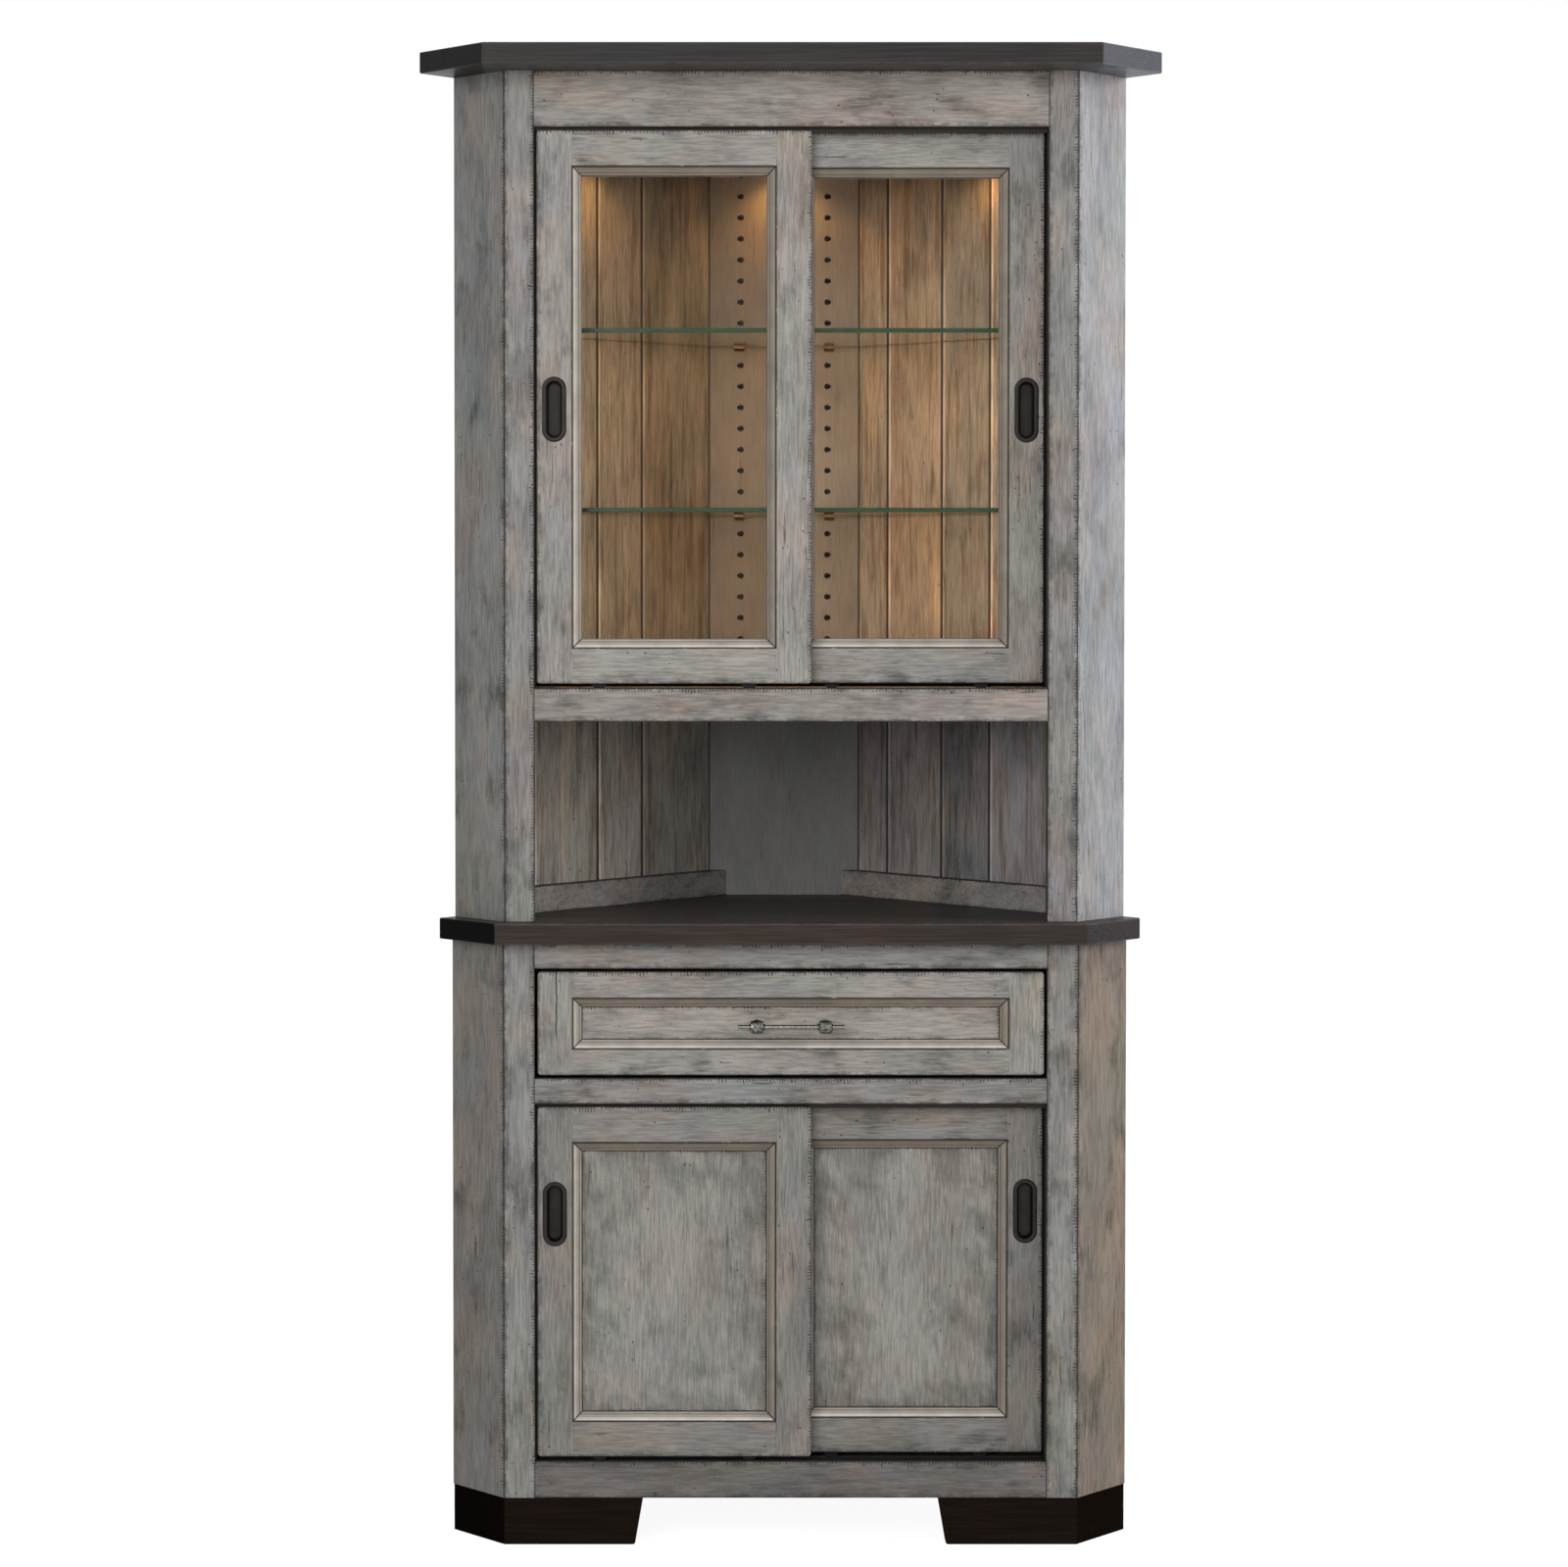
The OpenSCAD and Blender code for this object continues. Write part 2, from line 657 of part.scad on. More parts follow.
module glass_shelves() color(clear_glass) stand() for (row = shelf_rows) {
    y0 = hutch_step + shelf_setback;
    y1 = depth - hutch_back_in - shelf_rear_gap;
    reach = wall_sum - (hutch_back_in + shelf_gap) * root2;
    translate([0, 0, hole_z(row) - shelf_seat]) linear_extrude(shelf_glass_t) polygon([
        [-(reach - y0), y0], [reach - y0, y0], [reach - y1, y1], [-(reach - y1), y1]
    ]);
}

// Shelf pin: a shank in the hole and a bracket with a curved foot under the glass
module shelf_pin() {
    seat = -shelf_seat - joint_gap;
    top = pin_hole_d / 2 + bracket_lip;
    foot = seat - bracket_drop;
    translate([0, joint_gap, 0]) rotate([90, 0, 0])
        cylinder(d = pin_hole_d - pin_fit, h = pin_hole_l - pin_end_gap, $fn = 24);
    translate([-bracket_w / 2, joint_gap, 0]) rotate([90, 0, 90]) linear_extrude(bracket_w)
        polygon(concat(
            [[0, top], [bracket_t, top], [bracket_t, seat], [bracket_reach, seat],
             [bracket_reach, seat - bracket_t]],
            [for (a = [15:15:75]) [
                bracket_t + (bracket_reach - bracket_t) * (1 - sin(a)),
                foot + (bracket_drop - bracket_t) * cos(a)
            ]],
            [[bracket_t, foot], [0, foot]]
        ));
}

module shelf_pins() color(copper) stand() both_sides() for (row = shelf_rows) {
    translate([pin_column_x, depth - hutch_back_in, hole_z(row)])
        rotate([0, 0, 180]) shelf_pin();
    on_wall() translate([front_column_a, hutch_back_in, hole_z(row)]) shelf_pin();
}

module base_back_panels() color(grey_wash) stand() translate([0, 0, z_base])
    linear_extrude(z_counter - z_base) {
        polygon([
            mirrored(rear_corner(base_back_in)), rear_corner(base_back_in),
            rear_corner(back_recess), mirrored(rear_corner(back_recess))
        ]);
        both_sides() on_wall() polygon([
            [board_t, back_recess], [wall_end(back_recess) - wood_fit, back_recess],
            [wall_end(base_back_in) - wood_fit, base_back_in], [board_t, base_back_in]
        ]);
    }

module base_shelf() color(grey_wash) stand() translate([0, 0, z_lower_open + base_shelf_up])
    linear_extrude(deck_t) intersection() {
        polygon(plan(board_t + wood_fit, base_back_in + wood_fit));
        translate([-long / 2, base_shelf_setback]) square([long, depth]);
    }

module shelf_cleats() color(grey_wash) stand() both_sides() on_wall()
    translate([0, 0, z_lower_open + base_shelf_up - cleat_h]) linear_extrude(cleat_h) polygon([
        [board_t, base_back_in], [wall_end(base_back_in), base_back_in],
        [wall_end(base_back_in) + cleat_t, base_back_in + cleat_t],
        [board_t, base_back_in + cleat_t]
    ]);

// Front foot on the right: face board with a slanted end, return board and glue block
module front_foot() {
    foot_end = foot_end_top + foot_slant;
    round_x = foot_end + foot_corner_r - foot_slant * foot_corner_r / foot_h;
    gap = [joint_gap, 0];
    intersection() {
        linear_extrude(foot_h) polygon([
            [0, foot_inset], face_corner(foot_inset) - gap,
            face_corner(foot_inset + board_t) - gap, [0, foot_inset + board_t]
        ]);
        upright(depth) {
            difference() {
                polygon([
                    [foot_end_top, foot_h], [half_face, foot_h], [half_face, 0], [foot_end, 0]
                ]);
                translate([foot_end - foot_corner_r, -1])
                    square([round_x - foot_end + foot_corner_r, foot_corner_r + 1]);
            }
            translate([round_x, foot_corner_r]) circle(foot_corner_r);
        }
    }
    return_board(foot_inset, board_t, 0, foot_h);
    corner = face_corner(foot_inset + board_t + joint_gap);
    leg = block_leg / root2;
    face = board_t / root2;
    translate([0, 0, block_up]) linear_extrude(z_base_floor - block_up) polygon([
        corner, corner + [leg, leg], corner + [leg - face, leg + face],
        corner + [-block_leg, board_t], corner + [-block_leg, 0]
    ]);
}

// Rear foot: a board across the cut corner and a wing along each wall
module rear_foot() {
    f0 = back_recess;
    f1 = back_recess + board_t;
    linear_extrude(foot_h) {
        polygon([
            mirrored(rear_corner(f1)), rear_corner(f1), rear_corner(f0), mirrored(rear_corner(f0))
        ]);
        both_sides() on_wall() polygon([
            [wall_l - rear_foot_wing, f0], [wall_end(f0) - joint_gap, f0],
            [wall_end(f1) - joint_gap, f1], [wall_l - rear_foot_wing, f1]
        ]);
    }
}

module feet() color(foot_brown) stand() {
    both_sides() front_foot();
    rear_foot();
}

// Places a child at the level and step of the hutch or base doors
module at_hutch() translate([0, hutch_step, z_upper_open]) children();
module at_base() translate([0, 0, z_lower_open]) children();

// Section of a frame member from its outer edge: flat, quirk, ogee, bead and groove
stick_steps = 8;
ogee_d = stick_d - bead_step - bead_bevel;
function member(flat, infill_t) = concat(
    [[0, 0], [flat, 0], [flat, quirk_d]],
    [for (i = [1:stick_steps]) let (k = i / stick_steps)
        [flat + (stick_w - bead_w) * k, quirk_d + ogee_d * (1 - cos(180 * k)) / 2]],
    [
        [flat + stick_w - bead_w, quirk_d + stick_d - bead_bevel],
        [flat + stick_w - bead_bevel, quirk_d + stick_d - bead_bevel],
        [flat + stick_w, quirk_d + stick_d],
        [flat + stick_w, infill_v], [flat + stick_w - groove_d, infill_v],
        [flat + stick_w - groove_d, infill_v + infill_t + 2 * wood_fit],
        [flat + stick_w, infill_v + infill_t + 2 * wood_fit],
        [flat + stick_w, door_t], [0, door_t]
    ]
);

// Outer form of a frame: rounded corners in the front view and eased front edges
module frame_blank(w, h) {
    r = door_corner_r;
    e = front_ease;
    intersection() {
        upright(door_t) {
            translate([r, 0]) square([w - 2 * r, h]);
            translate([0, r]) square([w, h - 2 * r]);
            for (x = [r, w - r], z = [r, h - r]) translate([x, z]) circle(r);
        }
        linear_extrude(h) {
            translate([0, e]) square([w, door_t - e]);
            translate([e, 0]) square([w - 2 * e, door_t]);
            for (x = [e, w - e]) translate([x, e]) circle(e);
        }
        rotate([90, 0, 90]) linear_extrude(w) {
            translate([e, 0]) square([door_t - e, h]);
            translate([0, e]) square([door_t, h - 2 * e]);
            for (z = [e, h - e]) translate([e, z]) circle(e);
        }
    }
}

// Stile of a frame on the left, its moulding mitred at both ends
module frame_stile(w, h, flat, top, bottom, infill_t) intersection() {
    frame_blank(w, h);
    linear_extrude(h) polygon(member(flat, infill_t));
    upright(door_t) polygon([
        [0, 0], [flat, 0], [flat, bottom], [flat + stick_w, bottom + stick_w],
        [flat + stick_w, h - top - stick_w], [flat, h - top], [flat, h], [0, h]
    ]);
}

// Bottom rail of a frame, its moulding mitred at both ends
module frame_rail(w, h, flat, side, infill_t) {
    s = side + joint_gap;
    intersection() {
        frame_blank(w, h);
        translate([w, 0, 0]) rotate([0, -90, 0]) linear_extrude(w) polygon(member(flat, infill_t));
        upright(door_t) polygon([
            [s, 0], [w - s, 0], [w - s, flat], [w - s - stick_w, flat + stick_w],
            [s + stick_w, flat + stick_w], [s, flat]
        ]);
    }
}

// Frame of two stiles and two rails
module frame(w, h, side, top, bottom, infill_t) {
    frame_stile(w, h, side, top, bottom, infill_t);
    translate([w, 0, 0]) mirror([1, 0, 0]) frame_stile(w, h, side, top, bottom, infill_t);
    frame_rail(w, h, bottom, side, infill_t);
    translate([0, 0, h]) mirror([0, 0, 1]) frame_rail(w, h, top, side, infill_t);
}

// Glass or panel in the groove of a frame
module infill(w, h, side, top, bottom, t) {
    lip = groove_d - infill_edge_gap;
    x0 = side + stick_w - lip;
    z0 = bottom + stick_w - lip;
    translate([x0, infill_v + wood_fit, z0])
        cube([w - 2 * x0, t, h - top - stick_w + lip - z0]);
}

// Solid outline of a flush pull: two half rounds and the straight part between them
module oblong(r, z0, z1) translate([0, 0, z0]) linear_extrude(z1 - z0) {
    square([2 * r, pull_straight], center = true);
    for (s = [-1, 1]) translate([0, s * pull_straight / 2]) circle(r);
}

// Domed rim and wall of a flush pull, half of its section
function rim_section() = concat(
    [[slot_w / 2, -slot_depth], [shell_r, -slot_depth], [shell_r, 0], [rim_r, 0]],
    [for (i = [0:6]) let (a = 15 * i) [
        rim_r - pull_rim / 2 + pull_rim / 2 * cos(2 * a),
        rim_edge + (rim_proud - rim_edge) * sin(2 * a)
    ]]
);

module rim_side() translate([0, pull_straight / 2, 0]) rotate([90, 0, 0])
    linear_extrude(pull_straight) polygon(rim_section());

module finger_pull() rotate([90, 0, 0]) {
    for (a = [0, 180]) rotate([0, 0, a]) {
        rim_side();
        translate([0, pull_straight / 2, 0]) rotate_extrude(angle = 180) polygon(rim_section());
    }
    oblong(shell_r, -slot_depth - pull_shell, -slot_depth);
}

// Mortises of a door: two for the roller housings, one for the pull, one guide groove
module door_mortises(h, pull_x, pull_drop) {
    for (x = [wheel_inset, door_w - wheel_inset])
        translate([x - housing_l / 2 - metal_fit, door_t / 2 - housing_w / 2 - metal_fit, -1])
            cube([housing_l + 2 * metal_fit, housing_w + 2 * metal_fit, housing_h + 1 + metal_fit]);
    translate([pull_x, 0, h - pull_drop]) rotate([90, 0, 0])
        oblong(shell_r + metal_fit, -slot_depth - pull_shell - metal_fit, 1);
    translate([-1, door_t / 2 - guide_slot / 2, h - guide_groove_d])
        cube([door_w + 2, guide_slot, guide_groove_d + 1]);
}

module door_frame(h, pull_x, pull_drop, infill_t) difference() {
    frame(door_w, h, door_flat, door_flat, door_flat, infill_t);
    door_mortises(h, pull_x, pull_drop);
}

// Steel housing open at the bottom, with the axle across it
module roller_housing() translate([0, door_t / 2, 0]) {
    difference() {
        translate([-housing_l / 2, -housing_w / 2, 0]) cube([housing_l, housing_w, housing_h]);
        translate([-housing_l / 2 + housing_wall, -housing_w / 2 + housing_wall, -1])
            cube([
                housing_l - 2 * housing_wall, housing_w - 2 * housing_wall,
                housing_h + 1 - housing_wall
            ]);
    }
    translate([0, (housing_w - housing_wall) / 2, axle_up]) rotate([90, 0, 0])
        cylinder(r = axle_r, h = housing_w - housing_wall);
}

// Grooved wheel that straddles the track rib
module wheel() {
    groove = rib_t / 2 + rib_side_gap;
    outer = roll_r + flange_h;
    side = wheel_w / 2;
    bore_r = axle_r + axle_fit;
    translate([0, door_t / 2, axle_up]) rotate([90, 0, 0]) rotate_extrude() polygon([
        [bore_r, -side], [outer - wheel_bevel, -side], [outer, -side + wheel_bevel],
        [outer, -groove - groove_draft], [roll_r, -groove],
        [roll_r, groove], [outer, groove + groove_draft],
        [outer, side - wheel_bevel], [outer - wheel_bevel, side], [bore_r, side]
    ]);
}

// Places a child in the frame of a door
module at_door(upper, left) stand() translate([
    left ? left_door_x : right_door_x, (left ? front_door_y : rear_door_y) + (upper ? hutch_step : 0),
    (upper ? z_upper_open : z_lower_open) + door_lift
]) children();

function door_h(upper) = upper ? upper_door_h : lower_door_h;
function drop(upper) = upper ? upper_pull_drop : lower_pull_drop;
function pull_x(left) = left ? door_flat / 2 : door_w - door_flat / 2;
function infill_of(upper) = upper ? door_glass_t : panel_t;

module sliding_frame(upper, left) color(grey_wash) at_door(upper, left)
    door_frame(door_h(upper), pull_x(left), drop(upper), infill_of(upper));

module door_infill(upper, left) color(upper ? clear_glass : grey_wash) at_door(upper, left)
    infill(door_w, door_h(upper), door_flat, door_flat, door_flat, infill_of(upper));

module door_pull(upper, left) color(bronze) at_door(upper, left)
    translate([pull_x(left), 0, door_h(upper) - drop(upper)]) finger_pull();

module door_housings(upper, left) color(steel) at_door(upper, left)
    for (x = [wheel_inset, door_w - wheel_inset]) translate([x, 0, 0]) roller_housing();

module door_wheel(upper, left, second) color(nylon) at_door(upper, left)
    translate([second ? door_w - wheel_inset : wheel_inset, 0, 0]) wheel();

// Lines of the two doors in depth from the face, and the band that track and guide fill
door_mid_y = [front_door_y + door_t / 2, rear_door_y + door_t / 2];
band_y0 = rail_lip + band_gap;
band_y1 = door_mid_y[1] + band_rear;
band_l = open_w - 2 * band_end_gap;

// Bottom track: a plate in the rail rebate and on the floor, with a rib under each door
module track() {
    translate([-band_l / 2, band_y0, -track_rebate]) cube([band_l, band_y1 - band_y0, track_t]);
    for (y = door_mid_y)
        translate([-band_l / 2, y - rib_t / 2, -track_rebate]) cube([band_l, rib_t, track_rebate]);
}

// Top guides: a strip for each door in the rail rebate, with a fin in the door's top groove
strips_meet = (door_mid_y[0] + door_mid_y[1]) / 2;
strip_y0 = [band_y0, strips_meet + strip_gap / 2];
strip_y1 = [strips_meet - strip_gap / 2, band_y1];
module guides(open_h, top_gap) translate([-band_l / 2, 0, open_h]) for (i = [0, 1]) {
    reach = top_gap + fin_reach;
    translate([0, strip_y0[i], 0]) cube([band_l, strip_y1[i] - strip_y0[i], guide_t]);
    translate([0, door_mid_y[i] - fin_t / 2, -reach]) cube([band_l, fin_t, reach + 1]);
}

module door_tracks() color(steel) stand() {
    at_hutch() track();
    at_base() track();
}

module door_guides() color(plain_maple) stand() {
    at_hutch() guides(upper_open_h, upper_door_top_gap);
    at_base() guides(lower_open_h, lower_door_top_gap);
}

module drawer_web_board() color(plain_maple) stand() translate([0, 0, z_web])
    linear_extrude(deck_t) intersection() {
        polygon(plan(board_t, base_back_in));
        translate([-long / 2, 0]) square([long, board_t + web_depth]);
    }

module drawer_hangers() color(plain_maple) stand() both_sides() {
    x1 = hanger_x + hanger_t;
    difference() {
        translate([0, 0, z_web + deck_t]) linear_extrude(z_counter - z_web - deck_t) polygon([
            [hanger_x, board_t], [x1, board_t], [x1, wall_in_base - x1], [hanger_x, wall_in_base - hanger_x]
        ]);
        translate([hanger_x - 1, board_t - 1, z_drawer_open])
            cube([hanger_t + 2, hanger_notch + 1, drawer_open_h]);
    }
}

// Extrudes a right-hand section, drawn across and up, along the run of the drawer
module along_drawer(y0, y1) translate([0, y1, slide_z]) rotate([90, 0, 0])
    linear_extrude(y1 - y0) children();

// Steel channel on the hanger board, its lips turned in round the bar of the drawer
module drawer_channels() color(steel) stand() both_sides() along_drawer(slide_y0, slide_y1)
    difference() {
        translate([hanger_x - channel_d, -slide_h / 2]) square([channel_d, slide_h]);
        translate([hanger_x - channel_d + slide_steel, slide_steel - slide_h / 2])
            square([channel_d - 2 * slide_steel, slide_h - 2 * slide_steel]);
        translate([hanger_x - channel_d - 1, slide_steel + channel_lip - slide_h / 2])
            square([channel_d, slide_h - 2 * (slide_steel + channel_lip)]);
    }

// Bar on the drawer side: a foot on the wood, a neck between the lips and a head inside
module drawer_slides() color(steel) stand() both_sides()
    along_drawer(box_y0 + slide_front_in, slide_y1) {
        neck = slide_h - 2 * (slide_steel + channel_lip + slide_fit);
        head = slide_h - 2 * (slide_steel + slide_fit);
        head_x0 = hanger_x - channel_d + slide_steel + slide_fit;
        translate([box_x, -neck / 2]) square([hanger_x - slide_steel - slide_fit - box_x, neck]);
        translate([head_x0, -head / 2])
            square([hanger_x - slide_steel - slide_fit - head_x0, head]);
    }

// Places a child in the frame of the drawer front
module at_drawer() stand()
    translate([-drawer_front_w / 2, drawer_front_y, z_drawer_open + drawer_end_gap]) children();

module drawer_front_frame() color(grey_wash) at_drawer() frame(
    drawer_front_w, drawer_front_h, drawer_stile_flat, drawer_top_flat, drawer_bottom_flat, panel_t
);

// Places a child at each post of the drawer pull, on the face of the drawer panel
panel_face_y = drawer_front_y + infill_v + wood_fit;
bar_z = z_drawer_open + drawer_open_h / 2 + bar_up;
module at_posts() stand() both_sides()
    translate([post_pitch / 2, panel_face_y, bar_z]) rotate([90, 0, 0]) children();

module screw_holes() at_posts() translate([0, 0, -box_y0 - drawer_side_t])
    cylinder(d = screw_d + screw_gap, h = 2 * box_y0 + drawer_side_t);

module drawer_front_panel() color(grey_wash) difference() {
    at_drawer() infill(
        drawer_front_w, drawer_front_h, drawer_stile_flat, drawer_top_flat, drawer_bottom_flat,
        panel_t
    );
    screw_holes();
}

// The drawer box, in a frame of its own: x across, y back from its front, z up
box_l = box_y1 - box_y0;
module at_box() stand() translate([0, box_y0, box_z]) children();

// Row of dovetails at the front end of a side, drawn along y and z
module tail_row(fit) for (i = [0:tails - 1]) {
    c = (i + 0.5) * drawer_box_h / tails;
    e = tail_end_w / 2 + fit;
    r = tail_root_w / 2 + fit;
    t = drawer_side_t;
    polygon([[-1, c - e], [-1, c + e], [0, c + e], [t, c + r], [t + 1, c + r],
             [t + 1, c - r], [t, c - r], [0, c - e]]);
}

// Tails of one right side, at both ends, through its thickness and a little more
module side_tails(fit, extra) {
    translate([box_x - drawer_side_t - fit, 0, 0]) rotate([90, 0, 90])
        linear_extrude(drawer_side_t + fit + extra) {
            tail_row(fit);
            translate([box_l, 0]) mirror([1, 0]) tail_row(fit);
        }
}

// Groove for the drawer bottom
module bottom_groove(fit) {
    reach = drawer_side_t - drawer_groove_d;
    translate([-box_x + reach - fit, reach - fit, drawer_bottom_up - fit]) cube([
        drawer_box_w - 2 * (reach - fit), box_l - 2 * (reach - fit), drawer_bottom_t + 2 * fit
    ]);
}

// Right side of the box, its tails trimmed flush with front and back
module box_side() difference() {
    intersection() {
        translate([box_x - drawer_side_t, 0, 0]) cube([drawer_side_t, box_l, drawer_box_h]);
        union() {
            side_tails(0, 0);
            translate([0, drawer_side_t + joint_gap, 0])
                cube([box_x, box_l - 2 * (drawer_side_t + joint_gap), drawer_box_h]);
        }
    }
    bottom_groove(bottom_fit);
}

// Front of the box, cut to take the tails
module box_front() difference() {
    translate([-box_x, 0, 0]) cube([drawer_box_w, drawer_side_t, drawer_box_h]);
    both_sides() side_tails(joint_gap, 1);
    bottom_groove(bottom_fit);
}

module drawer_box() color(plain_maple) {
    difference() {
        at_box() box_front();
        screw_holes();
    }
    at_box() {
        both_sides() box_side();
        translate([0, box_l, 0]) mirror([0, 1, 0]) box_front();
    }
}

module drawer_bottom() color(plain_maple) at_box() bottom_groove(-bottom_fit);

// Barrel round the bar at a post, fuller in the middle, with a thin collar at each end
module barrel() rotate([0, 90, 0]) {
    rotate_extrude() polygon(concat(
        [[0, -barrel_w / 2]],
        [for (i = [-5:5]) let (k = i / 5)
            [barrel_d / 2 * (1 - barrel_taper * pow(abs(k), 3)), barrel_w / 2 * k]],
        [[0, barrel_w / 2]]
    ));
    translate([0, 0, -barrel_w / 2 - collar_w]) cylinder(d = collar_d, h = barrel_w + 2 * collar_w);
}

// Bar pull: a bar in two barrels on posts, and the screw that holds each post
module drawer_pull() color(pewter) {
    difference() {
        union() {
            stand() translate([0, panel_face_y - bar_out, bar_z]) {
                translate([-bar_l / 2, 0, 0]) rotate([0, 90, 0]) cylinder(d = bar_d, h = bar_l);
                for (s = [-1, 1]) translate([s * post_pitch / 2, 0, 0]) barrel();
            }
            at_posts() {
                cylinder(d = post_d, h = bar_out);
                cylinder(d = rose_d, h = rose_h);
            }
        }
        at_posts() translate([0, 0, -1]) cylinder(d = screw_d + metal_fit, h = screw_bore_l + 1);
    }
    at_posts() {
        seat = panel_face_y - box_y0 - drawer_side_t;
        translate([0, 0, seat]) cylinder(d = screw_d, h = screw_bore_l - screw_end_gap - seat);
        translate([0, 0, seat - screw_head_h]) cylinder(d = screw_head_d, h = screw_head_h);
    }
}

crown_top();
hutch_side(true);  // hutch_side_left
hutch_side(false);  // hutch_side_right
hutch_stiles();
hutch_rails();
hutch_planks(true);  // hutch_planks_left
hutch_planks(false);  // hutch_planks_right
hutch_center_panel();
hutch_ceiling();
hutch_floor();
niche_rails();
glass_shelves();
shelf_pins();
light_housings();
light_lenses();
door_tracks();
door_guides();
counter_top();
base_side(true);  // base_side_left
base_side(false);  // base_side_right
base_stiles();
base_rails();
base_back_panels();
base_floor();
base_shelf();
shelf_cleats();
feet();
drawer_web_board();
drawer_hangers();
drawer_channels();
drawer_front_frame();
drawer_front_panel();
drawer_box();
drawer_bottom();
drawer_pull();
drawer_slides();
sliding_frame(true, true);  // upper_left_frame
door_infill(true, true);  // upper_left_glass
door_pull(true, true);  // upper_left_pull
door_housings(true, true);  // upper_left_housings
door_wheel(true, true, false);  // upper_left_wheel_1
door_wheel(true, true, true);  // upper_left_wheel_2
sliding_frame(true, false);  // upper_right_frame
door_infill(true, false);  // upper_right_glass
door_pull(true, false);  // upper_right_pull
door_housings(true, false);  // upper_right_housings
door_wheel(true, false, false);  // upper_right_wheel_1
door_wheel(true, false, true);  // upper_right_wheel_2
sliding_frame(false, true);  // lower_left_frame
door_infill(false, true);  // lower_left_panel
door_pull(false, true);  // lower_left_pull
door_housings(false, true);  // lower_left_housings
door_wheel(false, true, false);  // lower_left_wheel_1
door_wheel(false, true, true);  // lower_left_wheel_2
sliding_frame(false, false);  // lower_right_frame
door_infill(false, false);  // lower_right_panel
door_pull(false, false);  // lower_right_pull
door_housings(false, false);  // lower_right_housings
door_wheel(false, false, false);  // lower_right_wheel_1
door_wheel(false, false, true);  // lower_right_wheel_2
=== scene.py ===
import math

import bmesh
import bpy
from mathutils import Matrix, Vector


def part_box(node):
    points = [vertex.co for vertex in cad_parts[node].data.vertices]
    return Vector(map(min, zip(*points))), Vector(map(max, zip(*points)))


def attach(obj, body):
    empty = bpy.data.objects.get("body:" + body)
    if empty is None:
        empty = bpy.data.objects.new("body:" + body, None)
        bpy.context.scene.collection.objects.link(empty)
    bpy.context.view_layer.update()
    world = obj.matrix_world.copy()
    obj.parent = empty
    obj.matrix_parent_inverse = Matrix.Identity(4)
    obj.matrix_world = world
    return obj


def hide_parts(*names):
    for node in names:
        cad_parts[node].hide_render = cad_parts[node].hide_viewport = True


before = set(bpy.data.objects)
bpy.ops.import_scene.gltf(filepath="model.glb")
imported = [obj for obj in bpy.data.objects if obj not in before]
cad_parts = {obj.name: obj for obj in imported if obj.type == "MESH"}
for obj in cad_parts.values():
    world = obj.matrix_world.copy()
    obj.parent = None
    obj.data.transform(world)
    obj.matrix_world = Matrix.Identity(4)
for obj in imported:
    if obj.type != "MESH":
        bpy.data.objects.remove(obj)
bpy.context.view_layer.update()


# The camera, the floor and the studio lamps.
# The room is a plain white studio: the floor and the world show white behind the hutch, the floor
# keeps its soft shadow, and a large lamp from the front right is the stronger of two.
scene = bpy.context.scene
scene.view_settings.view_transform = "Standard"


def stand(name, data):
    """Puts a camera, a lamp or a mesh into the scene."""
    made = bpy.data.objects.new(name, data)
    scene.collection.objects.link(made)
    return made


camera = stand("camera", bpy.data.cameras.new("camera"))
scene.camera = camera
camera.location = (-0.1289, -4.9424, 1.3744)
camera.rotation_euler = (math.radians(90 - 1.447), 0, 0)
camera.data.sensor_width = 36
camera.data.lens = 77.734
camera.data.shift_x = 0.054
camera.data.shift_y = -0.08
camera.data.clip_end = 60


def feed(tree, socket, value):
    """Links an input to another node's output, or sets its value."""
    if isinstance(value, bpy.types.NodeSocket):
        tree.links.new(value, socket)
    else:
        socket.default_value = value


def place(tree, kind, links=(), **settings):
    """Adds a shader node, sets its properties, and feeds its inputs."""
    made = tree.nodes.new(kind)
    for name, value in settings.items():
        setattr(made, name, value)
    for name, value in dict(links).items():
        feed(tree, made.inputs[name], value)
    return made


def maths(tree, operation, *values, clamp=False):
    made = place(tree, "ShaderNodeMath", enumerate(values), operation=operation, use_clamp=clamp)
    return made.outputs[0]


def seen_directly(tree):
    """1 for the rays that look at the background: from the camera, in gloss and through glass."""
    path = tree.nodes.new("ShaderNodeLightPath").outputs
    mirror = maths(tree, "MAXIMUM", path["Is Glossy Ray"], path["Is Transmission Ray"])
    direct = maths(tree, "MAXIMUM", path["Is Camera Ray"], mirror)
    unscattered = maths(tree, "LESS_THAN", path["Diffuse Depth"], 0.5)
    return maths(tree, "MULTIPLY", unscattered, direct)


world = bpy.data.worlds.new("studio")
scene.world = world
world.use_nodes = True
world.node_tree.nodes.clear()
strength = place(world.node_tree, "ShaderNodeMapRange",
                 {"Value": seen_directly(world.node_tree), "To Min": 0.30, "To Max": 1.0})
backdrop = place(world.node_tree, "ShaderNodeBackground",
                 {"Color": (1, 1, 1, 1), "Strength": strength.outputs[0]})
place(world.node_tree, "ShaderNodeOutputWorld", {"Surface": backdrop.outputs[0]})

